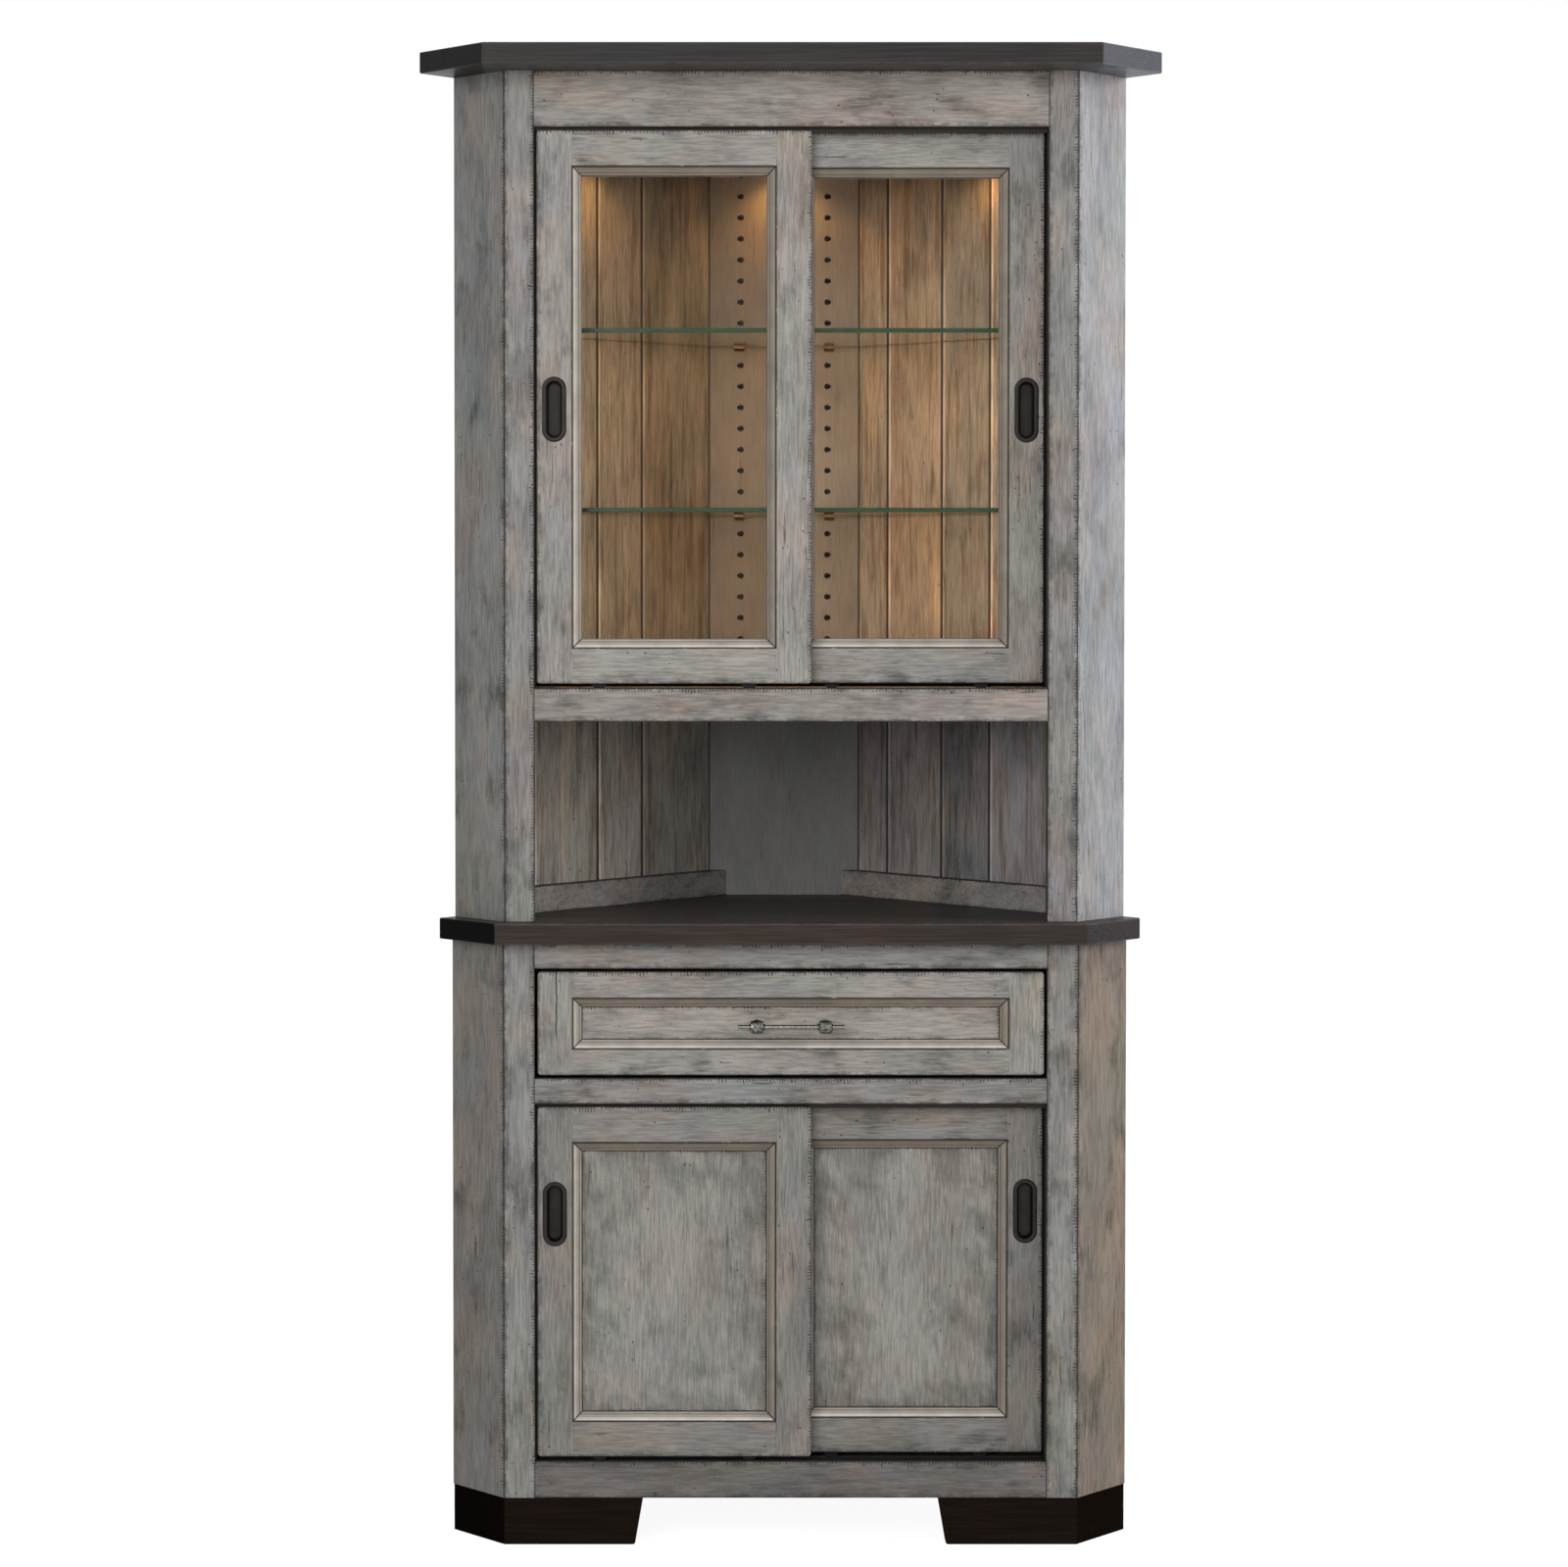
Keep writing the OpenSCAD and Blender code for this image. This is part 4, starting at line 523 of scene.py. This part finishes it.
# The middle height and half the thickness find the long edges; past the corner lie the short ends.
for node, slot, centre_z, half, corner, gloss, seed, tone, left_end_lighting, right_end_lighting in (
    ("crown_top", "dark_top", 2.0925, 0.015, 0.429, 0.12, 2.0,
     (0.040, 0.040, 0.040), (0.20, 0.20, 0.20), (1.56, 1.82, 2.20)),
    ("counter_top", "dark_top", 0.8675, 0.015, 0.415, 0.03, 9.0,
     (0.056, 0.047, 0.043), (0.03, 0.03, 0.03), (0.82, 0.90, 1.02)),
    ("feet", "foot_wood", 0.03, 1.0, 0.404, 0.0, 14.0,
     (0.0140, 0.0110, 0.0092), (0.35, 0.35, 0.35), (0.50, 0.48, 0.44)),
):
    stain = Finish(node + "_stain", Specular_IOR_Level=gloss)
    tree = stain.tree
    board = stain.use(stained, Grain=stain.turned("zyx"), Tone=(*tone, 1), Seed=seed,
                      Edge=stain.line(stain.z, half, centre_z))
    # Painted shade: the upper faces of crown and counter are tinted darker
    upper_face = maths(tree, "GREATER_THAN", stain.z, centre_z + half - 0.0002)
    faces_lit_and_shaded = tinted(tree, board["Color"], upper_face, (0.54, 0.54, 0.53))
    # Painted light and shade on the short ends, as the lamps fall on them: the crown's right end
    # lighter and bluer, the counter's right end a little darker and cooler, the left ends and the
    # feet's ends darker
    before_wall = maths(tree, "LESS_THAN", stain.y, -0.095)
    end_face = maths(tree, "MULTIPLY", before_wall, maths(tree, "SUBTRACT", 1.0, upper_face))
    for out, tint in ((-1, left_end_lighting), (1, right_end_lighting)):
        past_corner = band(tree, stain.x, out * corner, out * (corner + 0.002))
        faces_lit_and_shaded = tinted(tree, faces_lit_and_shaded, maths(tree, "MULTIPLY", past_corner, end_face), tint)
    coat(stain.show(faces_lit_and_shaded, board["Roughness"], board["Height"], 0.0002), slot, node,
         ease=0.0008 if node == "feet" else 0.0)


# The inner boards of the base: back panels, floor, shelf and its cleats.
# They are grey-stained boards that were not distressed, and show when a door or the drawer is open.
stain = Finish("inner_stain")
board = stain.use(wash, Grain=stain.turned("zyx"), Tone=(0.215, 0.205, 0.185, 1), Glaze=0.3,
                  Seed=41.0)
coat(stain.show(board["Color"], board["Roughness"], board["Height"], 0.0002), "inner_wood",
     "base_floor", "base_shelf", "shelf_cleats")
stain = Finish("back_panel_stain")
board = stain.use(wash, Grain=stain.place, Tone=(0.205, 0.195, 0.178, 1), Glaze=0.4, Seed=43.0)
coat(stain.show(board["Color"], board["Roughness"], board["Height"], 0.0002), "inner_wood",
     "base_back_panels")


# The two glass shelves on their eight pins.
# Each shelf is 6.4 mm float glass with a ground arris, clear through its faces and green through
# its edges. The pins are copper-plated, with a small bracket under the glass.
shelf_t = 0.0064
shelf_gap = 0.003
shelf_bottoms = (1.4605, 1.7165)
shelf_front_y, shelf_rear_y = -0.1025, 0.2115
# Both ends run along the walls, where y and the distance from the middle add up to this
wall_sum = sum(wall_shoulder) - (plank_face_in + shelf_gap) * math.sqrt(2)


def window_glass(name, tint, bend, arris=False):
    """Clear glass that lets the light of the lamps through, less of it along a ground arris."""
    glass = Finish(name, Transmission_Weight=1.0, IOR=bend, Roughness=0.0)
    glass.shader.inputs["Base Color"].default_value = (*tint, 1)
    tree = glass.tree
    through = (0.93, 0.96, 0.94, 1)
    if arris:
        from_wall = maths(tree, "SUBTRACT", wall_sum,
                          maths(tree, "ADD", glass.y, maths(tree, "ABSOLUTE", glass.x)))
        rim = glass.nearest(from_wall, maths(tree, "SUBTRACT", glass.y, shelf_front_y),
                            maths(tree, "SUBTRACT", shelf_rear_y, glass.y))
        through = mixed(tree, band(tree, rim, 0.0050, 0.0035), through, (0.10, 0.12, 0.11, 1))
    clear = place(tree, "ShaderNodeBsdfTransparent", {"Color": through})
    path = tree.nodes.new("ShaderNodeLightPath").outputs
    either = place(tree, "ShaderNodeMixShader",
                   {0: path["Is Shadow Ray"], 1: glass.shader.outputs[0], 2: clear.outputs[0]})
    tree.links.new(either.outputs[0], tree.nodes["Material Output"].inputs[0])
    return glass.material


shelf_glass = window_glass("shelf_glass", (0.97, 1.0, 0.98), 1.2, arris=True)
edge_glass = Finish("green_glass_edge", Roughness=0.2, Specular_IOR_Level=0.3)
ripple = noise(edge_glass.tree, stretch(edge_glass.tree, edge_glass.place, (1, 1, 3)), 60.0)
green = mixed(edge_glass.tree, ripple, (0.003, 0.016, 0.007, 1), (0.010, 0.044, 0.019, 1))
edge_glass.show(green)

shelf_mesh = bmesh.new()
for bottom in shelf_bottoms:
    outline = [(out * (wall_sum - y), y, bottom)
               for y, ends in ((shelf_front_y, (-1, 1)), (shelf_rear_y, (1, -1))) for out in ends]
    face = shelf_mesh.faces.new([shelf_mesh.verts.new(corner) for corner in outline])
    raised = bmesh.ops.extrude_face_region(shelf_mesh, geom=[face])["geom"]
    bmesh.ops.translate(shelf_mesh, vec=(0, 0, shelf_t),
                        verts=[v for v in raised if isinstance(v, bmesh.types.BMVert)])
bmesh.ops.recalc_face_normals(shelf_mesh, faces=shelf_mesh.faces)
bmesh.ops.bevel(shelf_mesh, geom=shelf_mesh.edges[:], offset=0.0006, affect="EDGES", segments=1,
                profile=0.5, material=-1, offset_type="OFFSET", clamp_overlap=True)
for face in shelf_mesh.faces:
    face.material_index = 0 if abs(face.normal.z) > 0.9 else 1
shelves = stand("polished_shelves", bpy.data.meshes.new("polished_shelves"))
shelf_mesh.to_mesh(shelves.data)
shelf_mesh.free()
shelves.data.materials.append(shelf_glass)
shelves.data.materials.append(edge_glass.material)
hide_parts("glass_shelves")
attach(shelves, "carcass")

# Metal with a little wear and unevenness in its shine
metal, takes, gives = new_group(
    "worn_metal",
    [("Place", "Vector", None), ("Tone", "Color", None), ("Rough", "Float", 0.35),
     ("Grit", "Float", 250.0)],
    [("Color", "Color"), ("Roughness", "Float"), ("Height", "Float")],
)
spots = noise(metal, takes["Place"], takes["Grit"], 3.0)
cloud = noise(metal, takes["Place"], 55.0, 3.0)
uneven = gained(metal, takes["Tone"], maths(metal, "MULTIPLY_ADD", cloud, 0.7, 0.62))
metal.links.new(uneven, gives["Color"])
smoothest = maths(metal, "SUBTRACT", takes["Rough"], 0.12)
metal.links.new(maths(metal, "MULTIPLY_ADD", spots, 0.25, smoothest), gives["Roughness"])
metal.links.new(spots, gives["Height"])


def metal_finish(name, tone, rough, metallic=1.0, grit=250.0, bump=0.0001):
    made = Finish(name, Metallic=metallic)
    surface = made.use(metal, Place=made.place, Tone=(*tone, 1), Rough=rough, Grit=grit)
    return made.show(surface["Color"], surface["Roughness"], surface["Height"], bump)


coat(metal_finish("copper_plate", (0.22, 0.11, 0.055), 0.38), "copper_pins", "shelf_pins")


# The three recessed lights in the ceiling of the glazed cabinet.
# Each is a turned satin-nickel housing with a frosted lens. Their warm light is in the lens and in
# a small lamp just under it, and a weak warm lamp inside the doors stands for what the walls throw
# back.
coat(metal_finish("light_nickel", (0.62, 0.60, 0.55), 0.38), "light_metal", "light_housings")
lens = Finish("frosted_lens", Roughness=0.5, Emission_Strength=6.0)
frost = noise(lens.tree, lens.place, 400.0, 2.0)
lens.tree.links.new(mixed(lens.tree, frost, (1.0, 0.62, 0.30, 1), (1.0, 0.72, 0.42, 1)),
                    lens.shader.inputs["Emission Color"])
coat(lens.show(mixed(lens.tree, frost, (0.75, 0.70, 0.60, 1), (0.9, 0.86, 0.78, 1))), "light_lens",
     "light_lenses")
under_lens_z = 1.996
warm_white = (1.0, 0.60, 0.22)
for spot_x, spot_y, power in ((-0.27, -0.0105, 1.10), (0.27, -0.0105, 1.15), (0.0, 0.1755, 1.8)):
    bulb = bpy.data.lights.new("cabinet_lamp", "SPOT")
    bulb.shadow_soft_size = 0.006
    bulb.energy = power
    bulb.spot_size = math.radians(125)
    bulb.spot_blend = 1.0
    bulb.color = warm_white
    stand("cabinet_lamp", bulb).location = (spot_x, spot_y, under_lens_z)
haze = bpy.data.lights.new("cabinet_haze", "AREA")
haze.shape = "RECTANGLE"
haze.size, haze.size_y = 0.62, 0.58
haze.energy = 1.5
haze.color = (1.0, 0.64, 0.34)
holder = stand("cabinet_haze", haze)
holder.location = (0.03, -0.125, 1.55)
holder.rotation_euler = (math.radians(90), 0, 0)
holder.visible_camera = holder.visible_glossy = holder.visible_transmission = False


# The aluminium tracks under the sliding doors and the maple guide strips above them.
# The tracks are ribbed extrusions let into the rails, and the guides are planed strips with fins.
coat(metal_finish("dark_anodised", (0.05, 0.047, 0.044), 0.45, grit=500.0), "track_aluminium",
     "door_tracks")

maple, takes, gives = new_group(
    "clear_maple", [("Grain", "Vector", None)],
    [("Color", "Color"), ("Roughness", "Float"), ("Height", "Float")],
)
rings = noise(maple, stretch(maple, takes["Grain"], (1, 1, 0.05)), 70.0, 4.0)
fibre = noise(maple, stretch(maple, takes["Grain"], (1, 1, 0.02)), 600.0, 2.0)
colour = mixed(maple, band(maple, rings, 0.35, 0.65), (0.60, 0.44, 0.27, 1), (0.50, 0.34, 0.19, 1))
colour = gained(maple, colour, maths(maple, "MULTIPLY_ADD", fibre, 0.3, 0.85))
maple.links.new(colour, gives["Color"])
maple.links.new(maths(maple, "MULTIPLY_ADD", fibre, 0.1, 0.4), gives["Roughness"])
maple.links.new(fibre, gives["Height"])


def maple_finish(name, order):
    made = Finish(name)
    board = made.use(maple, Grain=made.turned(order))
    return made.show(board["Color"], board["Roughness"], board["Height"], 0.0001)


across_maple = maple_finish("maple_across", "zyx")
# Painted shade: the maple guides are coloured near black, so that the gaps above the doors read
# dark
stain = Finish("guide_painted_shade", Specular_IOR_Level=0.2)
board = stain.use(stained, Grain=stain.turned("zyx"), Tone=(0.022, 0.018, 0.015, 1), Seed=19.0)
coat(stain.show(board["Color"], board["Roughness"], board["Height"], 0.0001), "plain_maple",
     "door_guides")


# The pile strips that close the gaps beside the doors and behind the tracks.
# They are black brush strips glued to the stiles beside each door at rest and to the rail behind
# each track, so that neither light nor dust comes through. The doors pass them with a little room.
# Painted shade: the strips are near black and fill the gaps beside and behind the doors with dark
pile = Finish("black_pile", Specular_IOR_Level=0.1)
bristle = noise(pile.tree, stretch(pile.tree, pile.place, (1, 0.1, 1)), 900.0, 2.0)
bristle = band(pile.tree, bristle, 0.35, 0.65)
black = mixed(pile.tree, bristle, (0.004, 0.004, 0.004, 1), (0.014, 0.013, 0.012, 1))
pile.show(black, height=bristle, bump=0.0003)

# Each opening by its front face and the ends of its strips, each strip by its sides, by how far its
# front and back lie behind that face, and by its top
strips_mesh = bmesh.new()
for face_y, low_z, high_z in ((-0.1825, 1.2125, 1.9965), (-0.1875, 0.1195, 0.6245)):
    for low_x, high_x, front, back, top in (
        (-0.3609, -0.3586, 0.0035, 0.0180, high_z),
        (0.3586, 0.3622, 0.0218, 0.0370, high_z),
        (0.3622, 0.3680, 0.0202, 0.0370, high_z),
        (-0.3600, 0.3600, 0.0460, 0.0490, low_z + 0.0075),
    ):
        low, high = Vector((low_x, face_y + front, low_z)), Vector((high_x, face_y + back, top))
        corners = bmesh.ops.create_cube(strips_mesh, size=1.0)["verts"]
        bmesh.ops.scale(strips_mesh, vec=high - low, verts=corners)
        bmesh.ops.translate(strips_mesh, vec=(low + high) / 2, verts=corners)
strips = stand("pile_strips", bpy.data.meshes.new("pile_strips"))
strips_mesh.to_mesh(strips.data)
strips_mesh.free()
strips.data.materials.append(pile.material)
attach(strips, "carcass")


# The drawer: web board and hangers in the base, steel slides, box and painted front.
# The box is clear-lacquered maple, dovetailed at all four corners, its bottom in a groove. The
# front is a frame with a mitred ogee round a flat panel, finished as the doors are.
coat(across_maple, "plain_maple", "drawer_web_board", "drawer_box", "drawer_bottom")
hanger_paint = Finish("hanger_maple")
board = hanger_paint.use(maple, Grain=hanger_paint.turned("xzy"))
end_grain = band(hanger_paint.tree, hanger_paint.y, -0.140, -0.146)
ends = mixed(hanger_paint.tree, end_grain, board["Color"], (0.022, 0.018, 0.015, 1))
coat(hanger_paint.show(ends, board["Roughness"], board["Height"], 0.0001), "plain_maple",
     "drawer_hangers")
zinc = metal_finish("zinc_steel", (0.55, 0.56, 0.57), 0.38)
coat(zinc, "slide_steel", "drawer_channels", "drawer_slides")

# The four members of a frame: which is a rail, how far in from the edge, and where the moulding is
moulding_w = 0.013
member, takes, gives = new_group(
    "frame_member",
    [("Place", "Vector", None), ("Centre X", "Float", 0.0), ("Centre Z", "Float", 0.0),
     ("Half Width", "Float", 0.1), ("Half Height", "Float", 0.1), ("Stile", "Float", 0.05),
     ("Rail", "Float", 0.05), ("Front Y", "Float", 0.0)],
    [("Grain", "Vector"), ("Is Rail", "Float"), ("Edge", "Float"), ("Past", "Float"),
     ("Moulding", "Float"), ("Mitre", "Float"), ("Facing", "Float")],
)
axes = place(member, "ShaderNodeSeparateXYZ", {0: takes["Place"]}).outputs
from_side = maths(member, "SUBTRACT", takes["Half Width"], maths(
    member, "ABSOLUTE", maths(member, "SUBTRACT", axes[0], takes["Centre X"])))
from_end = maths(member, "SUBTRACT", takes["Half Height"], maths(
    member, "ABSOLUTE", maths(member, "SUBTRACT", axes[2], takes["Centre Z"])))
past_stile = maths(member, "SUBTRACT", from_side, takes["Stile"])
past_rail = maths(member, "SUBTRACT", from_end, takes["Rail"])
is_rail = maths(member, "MULTIPLY", maths(member, "GREATER_THAN", past_stile, 0.0),
                maths(member, "GREATER_THAN", past_stile, past_rail))
past = maths(member, "MINIMUM", past_stile, past_rail)
level_grain = place(member, "ShaderNodeCombineXYZ", {0: axes[2], 1: axes[1], 2: axes[0]}).outputs[0]
links = {0: is_rail, 4: takes["Place"], 5: level_grain}
chosen = place(member, "ShaderNodeMix", links, data_type="VECTOR")
member.links.new(chosen.outputs[1], gives["Grain"])
member.links.new(is_rail, gives["Is Rail"])
member.links.new(maths(member, "MINIMUM", from_side, from_end), gives["Edge"])
member.links.new(past, gives["Past"])
# Which way a member's moulding slopes: 1 for the bottom rail, -1 for the top rail and 0.35 or -0.35
# for the stiles, used to paint light and shade
below = maths(member, "SIGN", maths(member, "SUBTRACT", takes["Centre Z"], axes[2]))
to_left = maths(member, "MULTIPLY", maths(member, "SIGN", maths(
    member, "SUBTRACT", takes["Centre X"], axes[0])), 0.35)
facing = place(member, "ShaderNodeMix", {0: is_rail, 2: to_left, 3: below})
member.links.new(facing.outputs[0], gives["Facing"])
moulding_d = 0.0082
behind_front = maths(member, "SUBTRACT", axes[1], takes["Front Y"])
in_front = maths(member, "LESS_THAN", behind_front, moulding_d)
in_mould = maths(member, "MULTIPLY", in_front, maths(member, "GREATER_THAN", past, 0.0))
member.links.new(in_mould, gives["Moulding"])
off_mitre = maths(member, "ABSOLUTE", maths(member, "SUBTRACT", past_stile, past_rail))
mitre_line = maths(member, "MULTIPLY", in_mould, band(member, off_mitre, 0.0020, 0.0007))
member.links.new(mitre_line, gives["Mitre"])


def grey_ramp(tree, value, *stops):
    ramp = place(tree, "ShaderNodeValToRGB", {0: value})
    bars = ramp.color_ramp.elements
    for bar, (where, level) in zip((bars[0], bars[1]), (stops[0], stops[-1])):
        bar.position, bar.color = where, (level, level, level, 1)
    for where, level in stops[1:-1]:
        bars.new(where).color = (level, level, level, 1)
    return ramp.outputs[0]


def frame_finish(name, frame_node, stile, rail, tone, seed, split=None):
    """The wash on a frame of two stiles and two rails, with glaze and painted light and shade in
    its moulding.

    A split in the wood is given by its place from the lower left corner, and rises from there.
    """
    low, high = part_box(frame_node)
    middle, half = (low + high) / 2, (high - low) / 2
    made = Finish(name)
    tree = made.tree
    parts = made.use(member, Place=made.place, Centre_X=middle.x, Centre_Z=middle.z,
                     Half_Width=half.x, Half_Height=half.z, Stile=stile, Rail=rail,
                     Front_Y=low.y)
    seeded = maths(tree, "MULTIPLY_ADD", parts["Is Rail"], 2.0, seed)
    board = made.use(wash, Grain=parts["Grain"], Tone=(*tone, 1), Seed=seeded)
    edged = made.use(rasp, Color=board["Color"], Height=board["Height"], Place=made.place,
                     Distance=parts["Edge"])
    across = maths(tree, "DIVIDE", parts["Past"], moulding_w)
    # Painted light and shade across the moulding: bright bands and bead lines are painted
    # highlights between dark glazed quirks, and the bottom rail is painted lighter, the top rail
    # darker and browner, the left stile lighter than the right
    upper = grey_ramp(tree, across, (0.0, 0.02), (0.11, 0.03), (0.20, 0.36), (0.52, 0.44),
                      (0.66, 0.30), (0.73, 0.05), (0.80, 0.50), (0.90, 0.40), (0.96, 0.02))
    lower = grey_ramp(tree, across, (0.0, 0.03), (0.07, 0.10), (0.14, 0.78), (0.32, 0.70),
                      (0.42, 0.42), (0.66, 0.40), (0.74, 0.10), (0.81, 0.62), (0.91, 0.46),
                      (0.97, 0.02))
    facing_light = maths(tree, "MULTIPLY_ADD", parts["Facing"], 0.5, 0.5)
    shade = mixed(tree, facing_light, (0.74, 0.60, 0.44, 1), (1.06, 0.97, 0.86, 1))
    lit_moulding = mixed(tree, 1.0, mixed(tree, facing_light, upper, lower), shade, "MULTIPLY")
    lit_moulding = tinted(tree, lit_moulding, parts["Mitre"], (0.10, 0.10, 0.10))
    clouds = noise(tree, parts["Grain"], 30.0, 3.0)
    wiped = gained(tree, lit_moulding, maths(tree, "MULTIPLY_ADD", clouds, 0.7, 0.62))
    colour = mixed(tree, maths(tree, "MULTIPLY", parts["Moulding"], 0.85), edged["Color"], wiped)
    rim = band(tree, maths(tree, "ABSOLUTE", parts["Past"]), 0.0018, 0.0005)
    broken = band(tree, noise(tree, made.place, 90.0, 3.0), 0.25, 0.42)
    rim = maths(tree, "MULTIPLY", maths(tree, "MULTIPLY", rim, broken), 0.8)
    colour = mixed(tree, rim, colour, dark_glaze)
    if split:
        split_x, split_z = low.x + split[0], low.z + split[1]
        wander = noise(tree, made.place, 60.0, 2.0)
        wander = maths(tree, "MULTIPLY_ADD", wander, 0.004, split_x - 0.002)
        off_split = maths(tree, "ABSOLUTE", maths(tree, "SUBTRACT", made.x, wander))
        gap = maths(tree, "MULTIPLY", band(tree, off_split, 0.0014, 0.0003),
                    band(tree, made.z, split_z - 0.02, split_z))
        colour = mixed(tree, gap, colour, dark_glaze)
    return made.show(colour, board["Roughness"], edged["Height"])


drawer_stile_w, drawer_rail_w = 0.050, 0.0375
coat(frame_finish("drawer_front_paint", "drawer_front_frame", drawer_stile_w, drawer_rail_w,
                  (0.373, 0.353, 0.328), 51.0, split=(0.027, 0.065)),
     "washed_wood", "drawer_front_frame")


def panel_finish(name, frame_node, stile, rail, order, tone, seed, cloudy=0.0):
    """The wash on a flat panel, wiped in soft clouds and left darker round the border if cloudy."""
    low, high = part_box(frame_node)
    middle, half = (low + high) / 2, (high - low) / 2
    made = Finish(name)
    tree = made.tree
    across = maths(tree, "SUBTRACT", half.x - stile - moulding_w, maths(
        tree, "ABSOLUTE", maths(tree, "SUBTRACT", made.x, middle.x)))
    upward = maths(tree, "SUBTRACT", half.z - rail - moulding_w, maths(
        tree, "ABSOLUTE", maths(tree, "SUBTRACT", made.z, middle.z)))
    board = made.use(wash, Grain=made.turned(order), Tone=(*tone, 1), Patches=0.6, Glaze=0.7,
                     Seed=seed)
    border_gap = made.nearest(across, upward)
    leaning = maths(tree, "MULTIPLY_ADD", made.z, 0.5, made.x)
    wiped = place(tree, "ShaderNodeCombineXYZ", {0: leaning, 1: seed, 2: made.z}).outputs[0]
    billow = noise(tree, wiped, 15.0, 4.0, 0.6)
    clouds = band(tree, maths(tree, "MULTIPLY_ADD", border_gap, -2.2, billow), 0.34, 0.58)
    clouds = maths(tree, "MULTIPLY", clouds, cloudy)
    clouded = tinted(tree, board["Color"], clouds, (0.60, 0.61, 0.60))
    edged = made.use(rasp, Color=clouded, Height=board["Height"], Place=made.place,
                     Distance=border_gap, Reach=0.0016)
    return made.show(edged["Color"], board["Roughness"], edged["Height"])


coat(panel_finish("drawer_panel_paint", "drawer_front_frame", drawer_stile_w, drawer_rail_w, "zyx",
                  (0.395, 0.372, 0.340), 55.0), "washed_wood", "drawer_front_panel")

# A painted highlight runs along the bar's front and painted glints sit on the two hammered
# knuckles, facet by facet; elsewhere the pull is painted darker, as shade
pewter = Finish("antique_pewter", Metallic=1.0)
tree = pewter.tree
surface = pewter.use(metal, Place=pewter.place, Tone=(0.30, 0.30, 0.27, 1), Rough=0.34, Grit=420.0)
pull_low, pull_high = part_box("drawer_pull")
knuckle_x = 0.048
off_axis = maths(tree, "ABSOLUTE", maths(
    tree, "SUBTRACT", pewter.z, (pull_low.z + pull_high.z) / 2))
off_knuckle = maths(tree, "ABSOLUTE", maths(
    tree, "SUBTRACT", maths(tree, "ABSOLUTE", pewter.x), knuckle_x))
on_knuckle = maths(tree, "LESS_THAN", off_knuckle, 0.0098)
facets = place(tree, "ShaderNodeTexVoronoi", {"Vector": pewter.place, "Scale": 330.0})
hammered = maths(tree, "MULTIPLY", band(tree, off_axis, 0.0090, 0.0072),
                 band(tree, off_knuckle, 0.0095, 0.0080))
dimples = place(tree, "ShaderNodeSeparateColor", {0: facets.outputs["Color"]}).outputs[0]
knuckle_light = maths(tree, "MULTIPLY", hammered, maths(tree, "MULTIPLY_ADD", dimples, 0.62, 0.06))
bar_light = maths(tree, "MULTIPLY", band(tree, off_axis, 0.0027, 0.0013), 0.7)
light = place(tree, "ShaderNodeMix", {0: on_knuckle, 2: bar_light, 3: knuckle_light})
shone = maths(tree, "MULTIPLY_ADD", light.outputs[0], 0.94, 0.06)
shining = gained(tree, surface["Color"], shone)
coat(pewter.show(shining, surface["Roughness"], facets.outputs["Distance"], 0.0010),
     "hammered_pewter", "drawer_pull")


# The four sliding doors: frame, glass or panel, finger pull, roller housings and wheels.
# The frames are painted and rasped as the drawer front is. The pulls are pressed from metal and
# finished in oil-rubbed bronze, and black nylon wheels run on the tracks in zinc-plated housings.
door_glass = window_glass("door_glass", (1.0, 1.0, 1.0), 1.1)
door_member_w = 0.0505
rim_radius = 0.017


def bronze_finish(name, node):
    """Oil-rubbed bronze, rubbed through on the rim and the slot's floor and black between."""
    low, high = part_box(node)
    middle, half = (low + high) / 2, (high - low) / 2
    made = Finish(name, Metallic=0.6, Specular_IOR_Level=0.2)
    tree = made.tree
    aside = maths(tree, "SUBTRACT", made.x, middle.x)
    upward = maths(tree, "ABSOLUTE", maths(tree, "SUBTRACT", made.z, middle.z))
    beyond = maths(tree, "MAXIMUM", maths(tree, "SUBTRACT", upward, half.z - half.x), 0.0)
    offset = place(tree, "ShaderNodeCombineXYZ", {0: aside, 1: beyond}).outputs[0]
    radius = place(tree, "ShaderNodeVectorMath", {0: offset}, operation="LENGTH").outputs["Value"]
    rubbed = grey_ramp(tree, maths(tree, "DIVIDE", radius, rim_radius), (0.0, 0.85), (0.42, 0.70),
                       (0.50, 0.04), (0.62, 0.03), (0.70, 0.75), (0.82, 1.2), (0.92, 0.7),
                       (0.98, 0.12))
    surface = made.use(metal, Place=made.place, Tone=(0.030, 0.0255, 0.022, 1), Rough=0.42)
    return made.show(mixed(tree, 1.0, surface["Color"], rubbed, "MULTIPLY"), surface["Roughness"],
                     surface["Height"], 0.0001)


nylon = metal_finish("black_nylon", (0.018, 0.018, 0.019), 0.5, metallic=0.0)
for level, tone in (("upper", (0.388, 0.364, 0.338)), ("lower", (0.290, 0.278, 0.258))):
    for side, seed in (("left", 61.0), ("right", 67.0)):
        door = f"{level}_{side}"
        if level == "lower":
            seed += 3
        coat(frame_finish(door + "_paint", door + "_frame", door_member_w, door_member_w, tone,
                          seed), "washed_wood", door + "_frame")
        if level == "upper":
            coat(door_glass, "clear_glass", door + "_glass")
        else:
            coat(panel_finish(door + "_panel_paint", door + "_frame", door_member_w, door_member_w,
                              "xyz", (0.353, 0.339, 0.312), seed + 6, cloudy=0.75),
                 "washed_wood", door + "_panel")
        coat(bronze_finish(door + "_bronze", door + "_pull"), "dark_bronze", door + "_pull")
        coat(zinc, "slide_steel", door + "_housings")
        coat(nylon, "wheel_nylon", door + "_wheel_1", door + "_wheel_2")
